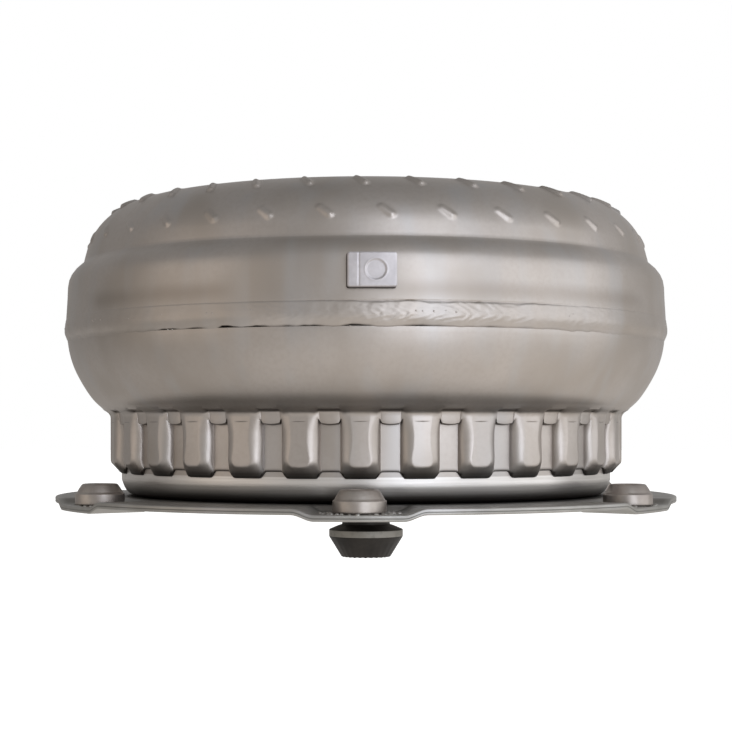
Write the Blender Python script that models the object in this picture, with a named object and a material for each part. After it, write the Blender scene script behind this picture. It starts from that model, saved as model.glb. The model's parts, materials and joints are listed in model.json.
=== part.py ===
"""Lock-up torque converter of a car's automatic gearbox, as separate solids on one axis.

Units are metres and +Z is up, along the axis of rotation, from the engine side to the gearbox side.
The origin lies on the axis at the tip of the pilot. The drive plate's front pad points to -Y.
"""

import math

import bmesh
import bpy
from mathutils import Vector

MM = 0.001

# Clearances
SEAT_GAP = 0.3 * MM          # between pieces that touch on the real unit
RUNNING_GAP = 0.6 * MM       # between pieces that turn past each other
SPLINE_GAP = 0.5 * MM        # at the sides and tips of sliding teeth

# How finely round pieces are divided
SHELL_SIDES = 48
COARSE_SIDES = 36
SMALL_SIDES = 24
NUT_SIDES = 12
ROLLER_SIDES = 8
FREE_STEPS = 5               # between two drive plate pads, and between two flange arms
TORUS_STEPS = 5
WEIGHT_STEPS = 4
SHARP_ANGLE = math.radians(35.0)
FRONT = math.radians(-90.0)  # towards the drive plate's front pad

# Pilot
PILOT_LENGTH = 28.8 * MM
PILOT_TIP_RADIUS = 11.4 * MM
PILOT_LAND_RADIUS = 16.9 * MM
PILOT_CONE_HEIGHT = 9.4 * MM
PILOT_LAND_HEIGHT = 3.2 * MM
PILOT_NECK_RADIUS = 10.9 * MM
PILOT_SHOULDER_HEIGHT = 0.7 * MM

# Drive plate and its nuts
PLATE_RADIUS = 139.7 * MM
PLATE_THICKNESS = 2.6 * MM
PAD_COUNT = 6
PAD_DROP = 2.4 * MM
PAD_HALF_ANGLE = math.radians(7.2)
PAD_RAMP_ANGLE = math.radians(3.0)
PAD_INNER_RADIUS = 111.0 * MM
BOLT_CIRCLE_RADIUS = 127.5 * MM
BOLT_HOLE_RADIUS = 5.0 * MM
NUT_RADIUS = 10.35 * MM
NUT_HEIGHT = 8.8 * MM
NUT_BASE_HEIGHT = 4.9 * MM
NUT_TOP_RADIUS = 7.4 * MM
NUT_LEDGE = 0.8 * MM

# Front cover
COVER_WALL = 3.2 * MM
COVER_DEPTH = 68.0 * MM
LOW_RADIUS = 110.6 * MM
CORNER_WIDTH = 6.2 * MM
CORNER_HEIGHT = 5.9 * MM
CORNER_BULGE = (0.7, 0.4)    # shares of the corner's width and height at its middle point
LOW_HEIGHT = 9.9 * MM
LOBE_COUNT = 30
LOBE_DEPTH = 5.0 * MM
LOBE_RISE = 6.9 * MM
LOBE_HEIGHT = 16.1 * MM
LOBE_TOP_RISE = 3.2 * MM
LOBE_TOP_WIDTH = 7.1 * MM
LOBE_BASE_WIDTH = 16.3 * MM
GROOVE_STEP = 0.7 * MM
FLARE_STEPS = 4
FLARE_BIAS = 1.3             # gathers the flare's points towards its lower end

# Impeller shell, its weld and its hub
BAND_RADIUS = 135.0 * MM
BAND_TAPER = 1.0 * MM
BAND_HEIGHT = 14.6 * MM
RIM_STEP = 0.8 * MM
WELD_HEIGHT = 10.3 * MM
WELD_CROWN = 0.7 * MM
WELD_CROWN_SHARE = 0.4       # of the weld's height to its crown, and of the crown left at its top
SHELL_WALL = 2.8 * MM
SKIRT_DEPTH = 13.0 * MM
SHOULDER_WIDTH = 7.4 * MM
SHOULDER_HEIGHT = 9.3 * MM
SHOULDER_SHARES = ((0.0, 0.0), (0.3, 0.5), (0.87, 1.0))
TORUS_START = math.radians(16.6)
TORUS_INSET = 36.5 * MM      # from the band to the centre of the flow passage
TORUS_RISE = 7.9 * MM        # from the top of the band to that centre
TORUS_RADIUS = 28.4 * MM
NECK_HEIGHT = 16.1 * MM      # of the shell's flat centre over the centre of the flow passage
HUB_FLANGE_RADIUS = 30.0 * MM
HUB_RADIUS = 23.5 * MM
HUB_BORE_RADIUS = 19.0 * MM
HUB_LENGTH = 22.8 * MM
HUB_SLOT_WIDTH = 8.0 * MM
HUB_SLOT_DEPTH = 6.0 * MM
HUB_CHAMFER = 1.0 * MM

# Balance weight
WEIGHT_WIDTH = 18.4 * MM
WEIGHT_HEIGHT = 13.0 * MM
WEIGHT_THICKNESS = 2.0 * MM
WEIGHT_DROP = 10.5 * MM      # from the top of the band to the weight's lower edge
WEIGHT_ANGLE = FRONT + math.radians(2.07)

# Bladed wheels
IMPELLER_BLADES = 33
TURBINE_BLADES = 31
STATOR_BLADES = 16
BLADE_THICKNESS = 1.0 * MM
BLADE_SWEEP = math.radians(-9.0)
BLADE_ARC = (math.radians(4.0), math.radians(56.0), math.radians(95.5), math.radians(135.0))
CORE_RADIUS = 10.8 * MM
CORE_WALL = 3.0 * MM
WHEEL_GAP = 2.0 * MM         # between the impeller's and the turbine's flow centres
TURBINE_WALL = 1.6 * MM

# Stator and one-way clutch
BEARING_THICKNESS = 3.0 * MM
BEARING_INNER_RADIUS = 28.5 * MM
BEARING_OUTER_RADIUS = 41.5 * MM
RACE_BORE_RADIUS = 17.6 * MM
RACE_RADIUS = 27.0 * MM
ROLLER_COUNT = 8
ROLLER_RADIUS = 3.7 * MM
OUTER_RACE_WALL = 6.8 * MM
STATOR_LIP = 2.0 * MM
STATOR_TUBE_WALL = 5.2 * MM
STATOR_WEB = 6.8 * MM
VANE_ROOT_RADIUS = 73.5 * MM
VANE_TIP_RADIUS = 88.5 * MM
VANE_TIP_LENGTH = 11.0 * MM
VANE_THICKNESS = 2.4 * MM
VANE_SWEEP = math.radians(6.0)
STATOR_RING_WALL = 1.8 * MM

# Lock-up clutch
GUIDE_RADIUS = 26.0 * MM
GUIDE_BORE_RADIUS = 20.5 * MM
GUIDE_FLANGE_RADIUS = 34.0 * MM
GUIDE_FLANGE_HEIGHT = 2.2 * MM
GUIDE_LENGTH = 17.4 * MM
PISTON_WEB = 3.6 * MM
PISTON_FLOOR_GAP = 3.4 * MM
PISTON_BOSS_HEIGHT = 9.0 * MM
PISTON_BOSS_WALL = 4.6 * MM
APPLY_RING_HEIGHT = 4.6 * MM
APPLY_RING_INNER = 92.0 * MM
APPLY_RING_OUTER = 103.0 * MM
SEAL_SECTION = 2.6 * MM
PLATE_STACK_GAP = 0.4 * MM   # at each face of the open clutch pack
FRICTION_THICKNESS = 2.4 * MM
STEEL_THICKNESS = 2.4 * MM
BACKING_THICKNESS = 4.0 * MM
SNAP_RING_THICKNESS = 1.8 * MM
SNAP_RING_WIDTH = 5.0 * MM
SNAP_RING_MOUTH = math.radians(8.0)
PACK_INNER_RADIUS = 88.0 * MM
STEEL_TEETH = 10
STEEL_TOOTH_TAPER = 0.95     # narrowing of a tooth's half width over its height
SPLINE_TEETH = 12
SPLINE_RADIUS = 86.0 * MM
SPLINE_DEPTH = 3.3 * MM
CLUTCH_HUB_WALL = 3.2 * MM
CLUTCH_HUB_FLANGE_RADIUS = 66.0 * MM

# Torsion damper
SPRING_COUNT = 6
SPRING_CIRCLE_RADIUS = 94.0 * MM
SPRING_RADIUS = 10.0 * MM
SPRING_LENGTH = 48.0 * MM
SPRING_WIRE_RADIUS = 1.6 * MM
SPRING_TURNS = 4
SPRING_TURN_SIDES = 6
DAMPER_DROP = 6.7 * MM       # from the turbine shell down to the springs
DAMPER_RADIUS = 112.0 * MM
DAMPER_PLATE = 2.5 * MM
DAMPER_RIM_WALL = 2.7 * MM
FLANGE_THICKNESS = 5.0 * MM
FLANGE_DISC_RADIUS = 81.5 * MM
FLANGE_ARM_HALF_ANGLE = math.radians(6.3)
REAR_PLATE_BORE_RADIUS = 45.0 * MM

# Turbine hub
TURBINE_HUB_RADIUS = 21.0 * MM
TURBINE_BORE_RADIUS = 14.2 * MM
TURBINE_FLANGE_RADIUS = 43.7 * MM
TURBINE_FLANGE_HEIGHT = 6.7 * MM
TURBINE_FOOT_RADIUS = 28.0 * MM
TURBINE_FOOT_HEIGHT = 4.0 * MM
BORE_SERRATION = 1.2 * MM

# Levels and radii that follow from the sizes above
COVER_FACE_Z = PILOT_LENGTH + SEAT_GAP
COVER_FLOOR_Z = COVER_FACE_Z + COVER_WALL
PLATE_TOP_Z = COVER_FACE_Z - SEAT_GAP
PAD_TOP_Z = PLATE_TOP_Z - PAD_DROP
LOBE_RADIUS = LOW_RADIUS + LOBE_DEPTH
GROOVE_RADIUS = LOW_RADIUS + GROOVE_STEP
LOBE_BOTTOM_Z = COVER_FACE_Z + LOW_HEIGHT
LOBE_LOW_Z = LOBE_BOTTOM_Z + LOBE_RISE
LOBE_HIGH_Z = LOBE_LOW_Z + LOBE_HEIGHT
LOBE_TOP_Z = LOBE_HIGH_Z + LOBE_TOP_RISE
SEAM_Z = COVER_FACE_Z + COVER_DEPTH
RIM_RADIUS = BAND_RADIUS - RIM_STEP
BAND_BOTTOM_Z = SEAM_Z + WELD_HEIGHT
BAND_TOP_Z = BAND_BOTTOM_Z + BAND_HEIGHT
TORUS_CENTRE_RADIUS = BAND_RADIUS - TORUS_INSET
TORUS_Z = BAND_TOP_Z + TORUS_RISE
NECK_TOP_Z = TORUS_Z + NECK_HEIGHT
NECK_BOTTOM_Z = NECK_TOP_Z - SHELL_WALL
FLOW_RADIUS = TORUS_RADIUS - SHELL_WALL
TURBINE_Z = TORUS_Z - WHEEL_GAP
MIDDLE_Z = TORUS_Z - WHEEL_GAP / 2
TURBINE_BOTTOM_Z = TURBINE_Z - FLOW_RADIUS - TURBINE_WALL
STATOR_TOP_Z = NECK_BOTTOM_Z - BEARING_THICKNESS - 2 * SEAT_GAP
STATOR_BOTTOM_Z = 2 * MIDDLE_Z - STATOR_TOP_Z
TURBINE_HUB_TOP_Z = STATOR_BOTTOM_Z - BEARING_THICKNESS - 2 * SEAT_GAP
GUIDE_BOTTOM_Z = COVER_FLOOR_Z + SEAT_GAP
GUIDE_TOP_Z = GUIDE_BOTTOM_Z + GUIDE_LENGTH
TURBINE_HUB_BOTTOM_Z = GUIDE_TOP_Z + BEARING_THICKNESS + 2 * SEAT_GAP
PISTON_BOTTOM_Z = COVER_FLOOR_Z + PISTON_FLOOR_GAP
PISTON_TOP_Z = PISTON_BOTTOM_Z + PISTON_WEB
APPLY_RING_Z = PISTON_TOP_Z + APPLY_RING_HEIGHT
FRICTION_1_Z = APPLY_RING_Z + PLATE_STACK_GAP
STEEL_Z = FRICTION_1_Z + FRICTION_THICKNESS + PLATE_STACK_GAP
FRICTION_2_Z = STEEL_Z + STEEL_THICKNESS + PLATE_STACK_GAP
BACKING_Z = FRICTION_2_Z + FRICTION_THICKNESS + PLATE_STACK_GAP
SNAP_RING_Z = BACKING_Z + BACKING_THICKNESS + SEAT_GAP
DAMPER_Z = TURBINE_BOTTOM_Z - DAMPER_DROP - SPRING_RADIUS
FLANGE_BOTTOM_Z = DAMPER_Z - FLANGE_THICKNESS / 2
DAMPER_FRONT_TOP_Z = FLANGE_BOTTOM_Z - SPLINE_GAP
DAMPER_REAR_BOTTOM_Z = DAMPER_Z + FLANGE_THICKNESS / 2 + SPLINE_GAP
ROLLER_CIRCLE_RADIUS = RACE_RADIUS + ROLLER_RADIUS + SEAT_GAP
INNER_COVER_RADIUS = LOW_RADIUS - COVER_WALL
INNER_LOBE_RADIUS = LOBE_RADIUS - COVER_WALL
INNER_GROOVE_RADIUS = GROOVE_RADIUS - COVER_WALL


def clear_scene():
    """Removes every object, so that the scene holds only this model."""
    for old in list(bpy.data.objects):
        bpy.data.objects.remove(old, do_unlink=True)


def material(name, colour, metallic, roughness):
    """A Principled material with one colour."""
    made = bpy.data.materials.new(name)
    made.use_nodes = True
    shader = made.node_tree.nodes["Principled BSDF"]
    shader.inputs["Base Color"].default_value = (*colour, 1.0)
    shader.inputs["Metallic"].default_value = metallic
    shader.inputs["Roughness"].default_value = roughness
    made.diffuse_color = (*colour, 1.0)
    return made


def polar(radius, angle, z):
    return Vector((radius * math.cos(angle), radius * math.sin(angle), z))


def evenly(count, start=FRONT):
    """Count angles round the circle, the first one at start."""
    return [start + math.tau * index / count for index in range(count)]


def circle(radius, z, count, start=FRONT):
    return [polar(radius, angle, z) for angle in evenly(count, start)]


def join_rings(bm, low, high):
    """Faces between two rings of vertices. A ring of one vertex is a pole, and a ring
    of twice the vertices starts half a coarse step before the other ring."""
    if len(low) == 1 or len(high) == 1:
        pole, ring = (low, high) if len(low) == 1 else (high, low)
        for index, vertex in enumerate(ring):
            bm.faces.new((pole[0], vertex, ring[(index + 1) % len(ring)]))
        return
    if len(low) == len(high):
        for index, vertex in enumerate(low):
            after = (index + 1) % len(low)
            bm.faces.new((vertex, low[after], high[after], high[index]))
        return
    coarse, fine = (low, high) if len(low) < len(high) else (high, low)
    for index, vertex in enumerate(coarse):
        before, after = fine[2 * index], fine[2 * index + 1]
        following = fine[(2 * index + 2) % len(fine)]
        neighbour = coarse[(index + 1) % len(coarse)]
        bm.faces.new((vertex, before, after))
        bm.faces.new((vertex, after, following, neighbour))


def place(bm, name, look, parent=None, origin=(0.0, 0.0, 0.0)):
    """Makes the object from its mesh, with its origin at the given point."""
    bmesh.ops.remove_doubles(bm, verts=bm.verts, dist=1e-7)
    bmesh.ops.recalc_face_normals(bm, faces=bm.faces)
    bmesh.ops.translate(bm, verts=bm.verts, vec=-Vector(origin))
    mesh = bpy.data.meshes.new(name)
    bm.to_mesh(mesh)
    bm.free()
    mesh.materials.append(look)
    mesh.shade_smooth()
    mesh.set_sharp_from_angle(angle=SHARP_ANGLE)
    made = bpy.data.objects.new(name, mesh)
    made.location = origin
    bpy.context.collection.objects.link(made)
    if parent is not None:
        made.parent = parent
    return made


def skinned(name, rings, look, parent=None, closed=True):
    """A solid skinned over rings of points, from the last ring back to the first when closed."""
    bm = bmesh.new()
    loops = [[bm.verts.new(point) for point in ring] for ring in rings]
    pairs = list(zip(loops, loops[1:]))
    if closed:
        pairs.append((loops[-1], loops[0]))
    for low, high in pairs:
        join_rings(bm, low, high)
    return place(bm, name, look, parent)


def turned(name, outline, sides, look, parent=None):
    """A solid turned from a closed outline of (radius, z). An outline that starts and ends
    on the axis is closed there by its poles."""
    rings = [[Vector((0, 0, z))] if radius == 0 else circle(radius, z, sides) for radius, z in outline]
    return skinned(name, rings, look, parent, closed=outline[0][0] != 0)


def serrated(radius, depth, z, sides):
    """A ring whose points lie on the bore and on the tooth tips by turns."""
    angles = evenly(sides)
    return [polar(radius - depth * (index % 2), angle, z) for index, angle in enumerate(angles)]


def washer(name, inner, outer, bottom, thickness, sides, look, parent=None):
    top = bottom + thickness
    outline = [(inner, bottom), (outer, bottom), (outer, top), (inner, top)]
    return turned(name, outline, sides, look, parent)


def plate(name, outline, holes, bottom, thickness, look, parent=None):
    """A flat plate cut to an outline, with holes. Both are lists of (x, y) points."""
    bm = bmesh.new()
    edges = []
    for points in [outline, *holes]:
        loop = [bm.verts.new((x, y, bottom)) for x, y in points]
        edges += [bm.edges.new((loop[index - 1], loop[index])) for index in range(len(loop))]
    filled = bmesh.ops.triangle_fill(bm, edges=edges, use_beauty=True, use_dissolve=False)
    faces = [item for item in filled["geom"] if isinstance(item, bmesh.types.BMFace)]
    raised = bmesh.ops.extrude_face_region(bm, geom=faces, use_keep_orig=True)
    moved = [item for item in raised["geom"] if isinstance(item, bmesh.types.BMVert)]
    bmesh.ops.translate(bm, verts=moved, vec=(0, 0, thickness))
    return place(bm, name, look, parent)


def flat_circle(radius, count, start=FRONT):
    return [(point.x, point.y) for point in circle(radius, 0, count, start)]


def toothed_outline(count, root, tip, root_half, tip_half, between):
    """An outline with teeth centred on the FRONT direction and round the circle. The half
    widths are in metres at the root and tip radii, and between adds points on the root."""
    points = []
    for centre in evenly(count):
        root_angle, tip_angle = root_half / root, tip_half / tip
        gap = math.tau / count - 2 * root_angle
        stations = [(root, -root_angle), (tip, -tip_angle), (tip, tip_angle), (root, root_angle)]
        stations += [(root, root_angle + gap * step / (between + 1)) for step in range(1, between + 1)]
        points += [(radius * math.cos(centre + turn), radius * math.sin(centre + turn))
                   for radius, turn in stations]
    return points


def offset_outline(points, distance):
    """The outline moved to its left by a distance, with mitred corners. Its ends move square."""
    moved = []
    normals = []
    for (r0, z0), (r1, z1) in zip(points, points[1:]):
        length = math.hypot(r1 - r0, z1 - z0)
        normals.append(((z0 - z1) / length, (r1 - r0) / length))
    for index, (radius, z) in enumerate(points):
        before = normals[max(index - 1, 0)]
        after = normals[min(index, len(normals) - 1)]
        share = distance / (1 + before[0] * after[0] + before[1] * after[1])
        moved.append((radius + (before[0] + after[0]) * share, z + (before[1] + after[1]) * share))
    return moved


def body_empty(name, z):
    """An empty on the axis that carries the pieces of one moving body."""
    made = bpy.data.objects.new(name, None)
    made.empty_display_size = 0.02
    made.location = (0, 0, z)
    bpy.context.collection.objects.link(made)
    return made


def carried_by(parent, *pieces):
    """Parents pieces without moving them."""
    for piece in pieces:
        piece.parent = parent
        piece.matrix_parent_inverse = parent.matrix_basis.inverted()


def cut(target, cutter):
    """Cuts one object from another. The cutter stays in the scene as a hidden helper."""
    cutter.hide_render = True
    cutter.display_type = "WIRE"
    modifier = target.modifiers.new("cut_" + cutter.name, "BOOLEAN")
    modifier.operation = "DIFFERENCE"
    modifier.solver = "EXACT"
    modifier.object = cutter


# Visible casing


def make_pilot(look):
    land_bottom = PILOT_CONE_HEIGHT
    land_top = land_bottom + PILOT_LAND_HEIGHT
    outline = [
        (0, 0), (PILOT_TIP_RADIUS, 0), (PILOT_LAND_RADIUS, land_bottom), (PILOT_LAND_RADIUS, land_top),
        (PILOT_NECK_RADIUS, land_top + PILOT_SHOULDER_HEIGHT), (PILOT_NECK_RADIUS, PILOT_LENGTH),
        (0, PILOT_LENGTH),
    ]
    return turned("pilot", outline, SMALL_SIDES, look)


def plate_angles():
    """Angles of the drive plate's radial rows, with whether each one lies on a pad."""
    free = math.tau / PAD_COUNT - 2 * (PAD_HALF_ANGLE + PAD_RAMP_ANGLE)
    for centre in evenly(PAD_COUNT):
        yield centre - PAD_HALF_ANGLE, True
        yield centre, True
        yield centre + PAD_HALF_ANGLE, True
        for step in range(FREE_STEPS + 1):
            yield centre + PAD_HALF_ANGLE + PAD_RAMP_ANGLE + free * step / FREE_STEPS, False


def make_drive_plate(look):
    """A flat ring on the cover's face, with pads pressed down at the bolt holes."""
    rows = list(plate_angles())
    inner = PILOT_NECK_RADIUS + SPLINE_GAP * 2
    ramp_end = PAD_INNER_RADIUS + PAD_DROP

    def ring(radius, z, dips):
        return [polar(radius, angle, z - (PAD_DROP if on_pad and dips else 0)) for angle, on_pad in rows]

    upper = [(inner, False), (PAD_INNER_RADIUS, False), (ramp_end, True), (PLATE_RADIUS, True)]
    rings = [ring(radius, PLATE_TOP_Z, dips) for radius, dips in upper]
    rings += [ring(radius, PLATE_TOP_Z - PLATE_THICKNESS, dips) for radius, dips in reversed(upper)]
    made = skinned("drive_plate", rings, look)
    bm = bmesh.new()
    for angle in evenly(PAD_COUNT):
        added = bmesh.ops.create_cone(
            bm, cap_ends=True, segments=NUT_SIDES, radius1=BOLT_HOLE_RADIUS, radius2=BOLT_HOLE_RADIUS,
            depth=4 * (PLATE_THICKNESS + PAD_DROP))
        bmesh.ops.translate(bm, verts=added["verts"], vec=polar(BOLT_CIRCLE_RADIUS, angle, PAD_TOP_Z))
    cut(made, place(bm, "bolt_hole_cutters", look))
    return made


def make_weld_nut(index, angle, look):
    """A round nut with a stepped cone on top, standing on its pad."""
    bottom = PAD_TOP_Z + SEAT_GAP
    base_top = bottom + NUT_BASE_HEIGHT
    outline = [
        (BOLT_HOLE_RADIUS, bottom), (NUT_RADIUS, bottom), (NUT_RADIUS, base_top),
        (NUT_RADIUS - NUT_LEDGE, base_top + NUT_LEDGE), (NUT_TOP_RADIUS, bottom + NUT_HEIGHT),
        (BOLT_HOLE_RADIUS, bottom + NUT_HEIGHT),
    ]
    made = turned(f"weld_nut_{index}", outline, NUT_SIDES, look)
    made.location = polar(BOLT_CIRCLE_RADIUS, angle, 0)
    return made


def cover_outline(middle_radius):
    """The cover's outer outline from the axis to the rim, with this radius along the lobes."""
    flare_radius = LOBE_RADIUS + SEAT_GAP
    outline = [
        (0, COVER_FACE_Z), (LOW_RADIUS - CORNER_WIDTH, COVER_FACE_Z),
        (LOW_RADIUS - (1 - CORNER_BULGE[0]) * CORNER_WIDTH, COVER_FACE_Z + CORNER_BULGE[1] * CORNER_HEIGHT),
        (LOW_RADIUS, COVER_FACE_Z + CORNER_HEIGHT), (LOW_RADIUS, LOBE_BOTTOM_Z),
        (middle_radius, LOBE_LOW_Z), (middle_radius, LOBE_HIGH_Z), (flare_radius, LOBE_TOP_Z),
    ]
    for step in range(1, FLARE_STEPS + 1):
        share = (step / FLARE_STEPS) ** FLARE_BIAS
        radius = flare_radius + (RIM_RADIUS - flare_radius) * (1 - (1 - share) ** 2)
        outline.append((radius, LOBE_TOP_Z + (SEAM_Z - LOBE_TOP_Z) * share))
    return outline


def cover_rings(wall):
    """Rings of the cover's surface at a depth of wall inside the outer one."""
    lobe = offset_outline(cover_outline(LOBE_RADIUS), wall)
    groove = offset_outline(cover_outline(GROOVE_RADIUS), wall)
    flank = math.atan2(LOBE_BASE_WIDTH - LOBE_TOP_WIDTH, 2 * (LOBE_RADIUS - GROOVE_RADIUS))
    inset = wall * (1 - math.sin(flank)) / math.cos(flank)
    top_angle = (LOBE_TOP_WIDTH / 2 - inset) / LOBE_RADIUS
    base_angle = (LOBE_BASE_WIDTH / 2 - inset) / GROOVE_RADIUS
    coarse_sides = 2 * LOBE_COUNT
    first_lobed, last_lobed = 4, 6
    rings = []
    for index, ((radius, z), (groove_radius, groove_z)) in enumerate(zip(lobe, groove)):
        if index == 0:
            rings.append([Vector((0, 0, z))])
        elif first_lobed <= index <= last_lobed:
            rings.append([point for centre in evenly(LOBE_COUNT) for point in (
                polar(radius, centre - top_angle, z), polar(radius, centre + top_angle, z),
                polar(groove_radius, centre + base_angle, groove_z),
                polar(groove_radius, centre + math.tau / LOBE_COUNT - base_angle, groove_z))])
        else:
            rings.append(circle(radius, z, coarse_sides))
    rings[-1] = circle(RIM_RADIUS - wall, SEAM_Z, coarse_sides)
    return rings


def skirt_radius():
    """Outer radius of the shell's skirt, which clears the cover's inside at the skirt's lower edge."""
    low_radius, low_z = offset_outline(cover_outline(LOBE_RADIUS), COVER_WALL)[-2]
    share = (BAND_BOTTOM_Z - SKIRT_DEPTH - low_z) / (SEAM_Z - low_z)
    inside = low_radius + (RIM_RADIUS - COVER_WALL - low_radius) * share
    return inside * math.cos(math.pi / SHELL_SIDES) - SEAT_GAP


def make_front_cover(look):
    """The deep-drawn cover: a closed face, a low cylinder, the lobes and a flare to the rim."""
    rings = cover_rings(0) + list(reversed(cover_rings(COVER_WALL)))
    return skinned("front_cover", rings, look, closed=False)


def torus_point(centre_z, radius, angle):
    """A point of the flow passage's section. The angle runs from the outer side over the top."""
    return (TORUS_CENTRE_RADIUS + radius * math.cos(angle), centre_z + radius * math.sin(angle))


def make_impeller_shell(look):
    """Skirt inside the cover's rim, band, shoulder, torus and flat centre."""
    arc_end = BLADE_ARC[-1]
    outer_arc = [TORUS_START + (arc_end - TORUS_START) * step / TORUS_STEPS for step in range(TORUS_STEPS + 1)]
    inner_arc = [TORUS_START, *BLADE_ARC[1:]]
    neck_start = TORUS_CENTRE_RADIUS - TORUS_RADIUS - SHOULDER_WIDTH
    opening = HUB_FLANGE_RADIUS + SEAT_GAP
    shoulder = [(BAND_RADIUS - BAND_TAPER - SHOULDER_WIDTH * inward, BAND_TOP_Z + SHOULDER_HEIGHT * up)
                for inward, up in SHOULDER_SHARES]
    skirt = skirt_radius()
    outline = [(skirt, BAND_BOTTOM_Z - SKIRT_DEPTH), (skirt, BAND_BOTTOM_Z),
               (BAND_RADIUS, BAND_BOTTOM_Z), *shoulder]
    outline += [torus_point(TORUS_Z, TORUS_RADIUS, angle) for angle in outer_arc]
    outline += [(neck_start, NECK_TOP_Z), (opening, NECK_TOP_Z)]
    outline += [(opening, NECK_BOTTOM_Z), (neck_start, NECK_BOTTOM_Z)]
    outline += [torus_point(TORUS_Z, FLOW_RADIUS, angle) for angle in reversed(inner_arc)]
    inside = offset_outline(shoulder, SHELL_WALL)
    skirt_inner = skirt - SHELL_WALL
    outline += [*reversed(inside), (skirt_inner, BAND_BOTTOM_Z), (skirt_inner, outline[0][1])]
    return turned("impeller_shell", outline, SHELL_SIDES, look)


def make_seam_weld(look):
    """The bead that joins the cover's rim to the shell."""
    bottom = SEAM_Z + SEAT_GAP
    top = BAND_BOTTOM_Z - SEAT_GAP
    inner = skirt_radius() + SEAT_GAP
    crown_z = bottom + WELD_CROWN_SHARE * (top - bottom)
    outline = [(inner, bottom), (RIM_RADIUS, bottom), (BAND_RADIUS + WELD_CROWN, crown_z),
               (BAND_RADIUS + WELD_CROWN_SHARE * WELD_CROWN, top), (inner, top)]
    return turned("seam_weld", outline, SHELL_SIDES, look)


def make_impeller_hub(look):
    """The sleeve that drives the gearbox's oil pump through two slots."""
    top = NECK_BOTTOM_Z + HUB_LENGTH
    outline = [
        (HUB_BORE_RADIUS, NECK_BOTTOM_Z), (HUB_FLANGE_RADIUS, NECK_BOTTOM_Z),
        (HUB_FLANGE_RADIUS, NECK_TOP_Z), (HUB_RADIUS, NECK_TOP_Z + HUB_CHAMFER),
        (HUB_RADIUS, top - HUB_CHAMFER), (HUB_RADIUS - HUB_CHAMFER, top), (HUB_BORE_RADIUS, top),
    ]
    made = turned("impeller_hub", outline, SMALL_SIDES, look)
    bm = bmesh.new()
    bmesh.ops.create_cube(bm, size=1.0)
    bmesh.ops.scale(bm, verts=bm.verts, vec=(3 * HUB_RADIUS, HUB_SLOT_WIDTH, 2 * HUB_SLOT_DEPTH))
    bmesh.ops.translate(bm, verts=bm.verts, vec=(0, 0, top))
    cut(made, place(bm, "hub_slot_cutter", look))
    return made


def make_balance_weight(look):
    """A sheet of steel curved to the band and welded to it."""
    low = BAND_TOP_Z - WEIGHT_DROP
    inner = BAND_RADIUS - BAND_TAPER * (low - BAND_BOTTOM_Z) / BAND_HEIGHT + SEAT_GAP
    spread = WEIGHT_WIDTH / inner
    sections = []
    for step in range(WEIGHT_STEPS + 1):
        angle = WEIGHT_ANGLE + spread * (step / WEIGHT_STEPS - 0.5)
        sections.append([polar(inner, angle, low), polar(inner + WEIGHT_THICKNESS, angle, low),
                         polar(inner + WEIGHT_THICKNESS, angle, low + WEIGHT_HEIGHT),
                         polar(inner, angle, low + WEIGHT_HEIGHT)])
    bm = bmesh.new()
    loops = [[bm.verts.new(point) for point in section] for section in sections]
    for low_loop, high_loop in zip(loops, loops[1:]):
        join_rings(bm, low_loop, high_loop)
    bm.faces.new(loops[0])
    bm.faces.new(loops[-1])
    return place(bm, "balance_weight", look)


# Bladed wheels


def make_blade_wheel(name, centre_z, upward, count, wall_gap, look):
    """A core ring with blades that reach to the shell, as one solid. Each blade grows out of
    a narrow strip of the ring, so that ring and blades share their faces."""
    side = 1 if upward else -1
    outer_radius = FLOW_RADIUS - wall_gap
    bm = bmesh.new()

    def row(radius, angle, turn):
        point_radius, z = torus_point(centre_z, radius, side * angle)
        sweep = BLADE_SWEEP * side * (angle - BLADE_ARC[0]) / (BLADE_ARC[-1] - BLADE_ARC[0])
        half = BLADE_THICKNESS / 2 / point_radius
        return [bm.verts.new(polar(point_radius, centre + sweep + half * sign, z))
                for centre in evenly(count, FRONT + turn) for sign in (-1, 1)]

    core = [row(CORE_RADIUS, angle, 0) for angle in BLADE_ARC]
    tips = [row(outer_radius, angle, 0) for angle in BLADE_ARC]
    middle_angle = (BLADE_ARC[0] + BLADE_ARC[-1]) / 2
    inside = row(CORE_RADIUS - CORE_WALL, middle_angle, 0)
    join_rings(bm, core[-1], inside)
    join_rings(bm, inside, core[0])
    for low, high, tip_low, tip_high in zip(core, core[1:], tips, tips[1:]):
        for blade in range(count):
            left, right = 2 * blade, 2 * blade + 1
            following = (right + 1) % (2 * count)
            bm.faces.new((low[right], low[following], high[following], high[right]))
            bm.faces.new((low[left], tip_low[left], tip_high[left], high[left]))
            bm.faces.new((low[right], tip_low[right], tip_high[right], high[right]))
            bm.faces.new((tip_low[left], tip_low[right], tip_high[right], tip_high[left]))
    for core_row, tip_row in ((core[0], tips[0]), (core[-1], tips[-1])):
        for blade in range(count):
            left, right = 2 * blade, 2 * blade + 1
            bm.faces.new((core_row[left], core_row[right], tip_row[right], tip_row[left]))
    return place(bm, name, look)


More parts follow.
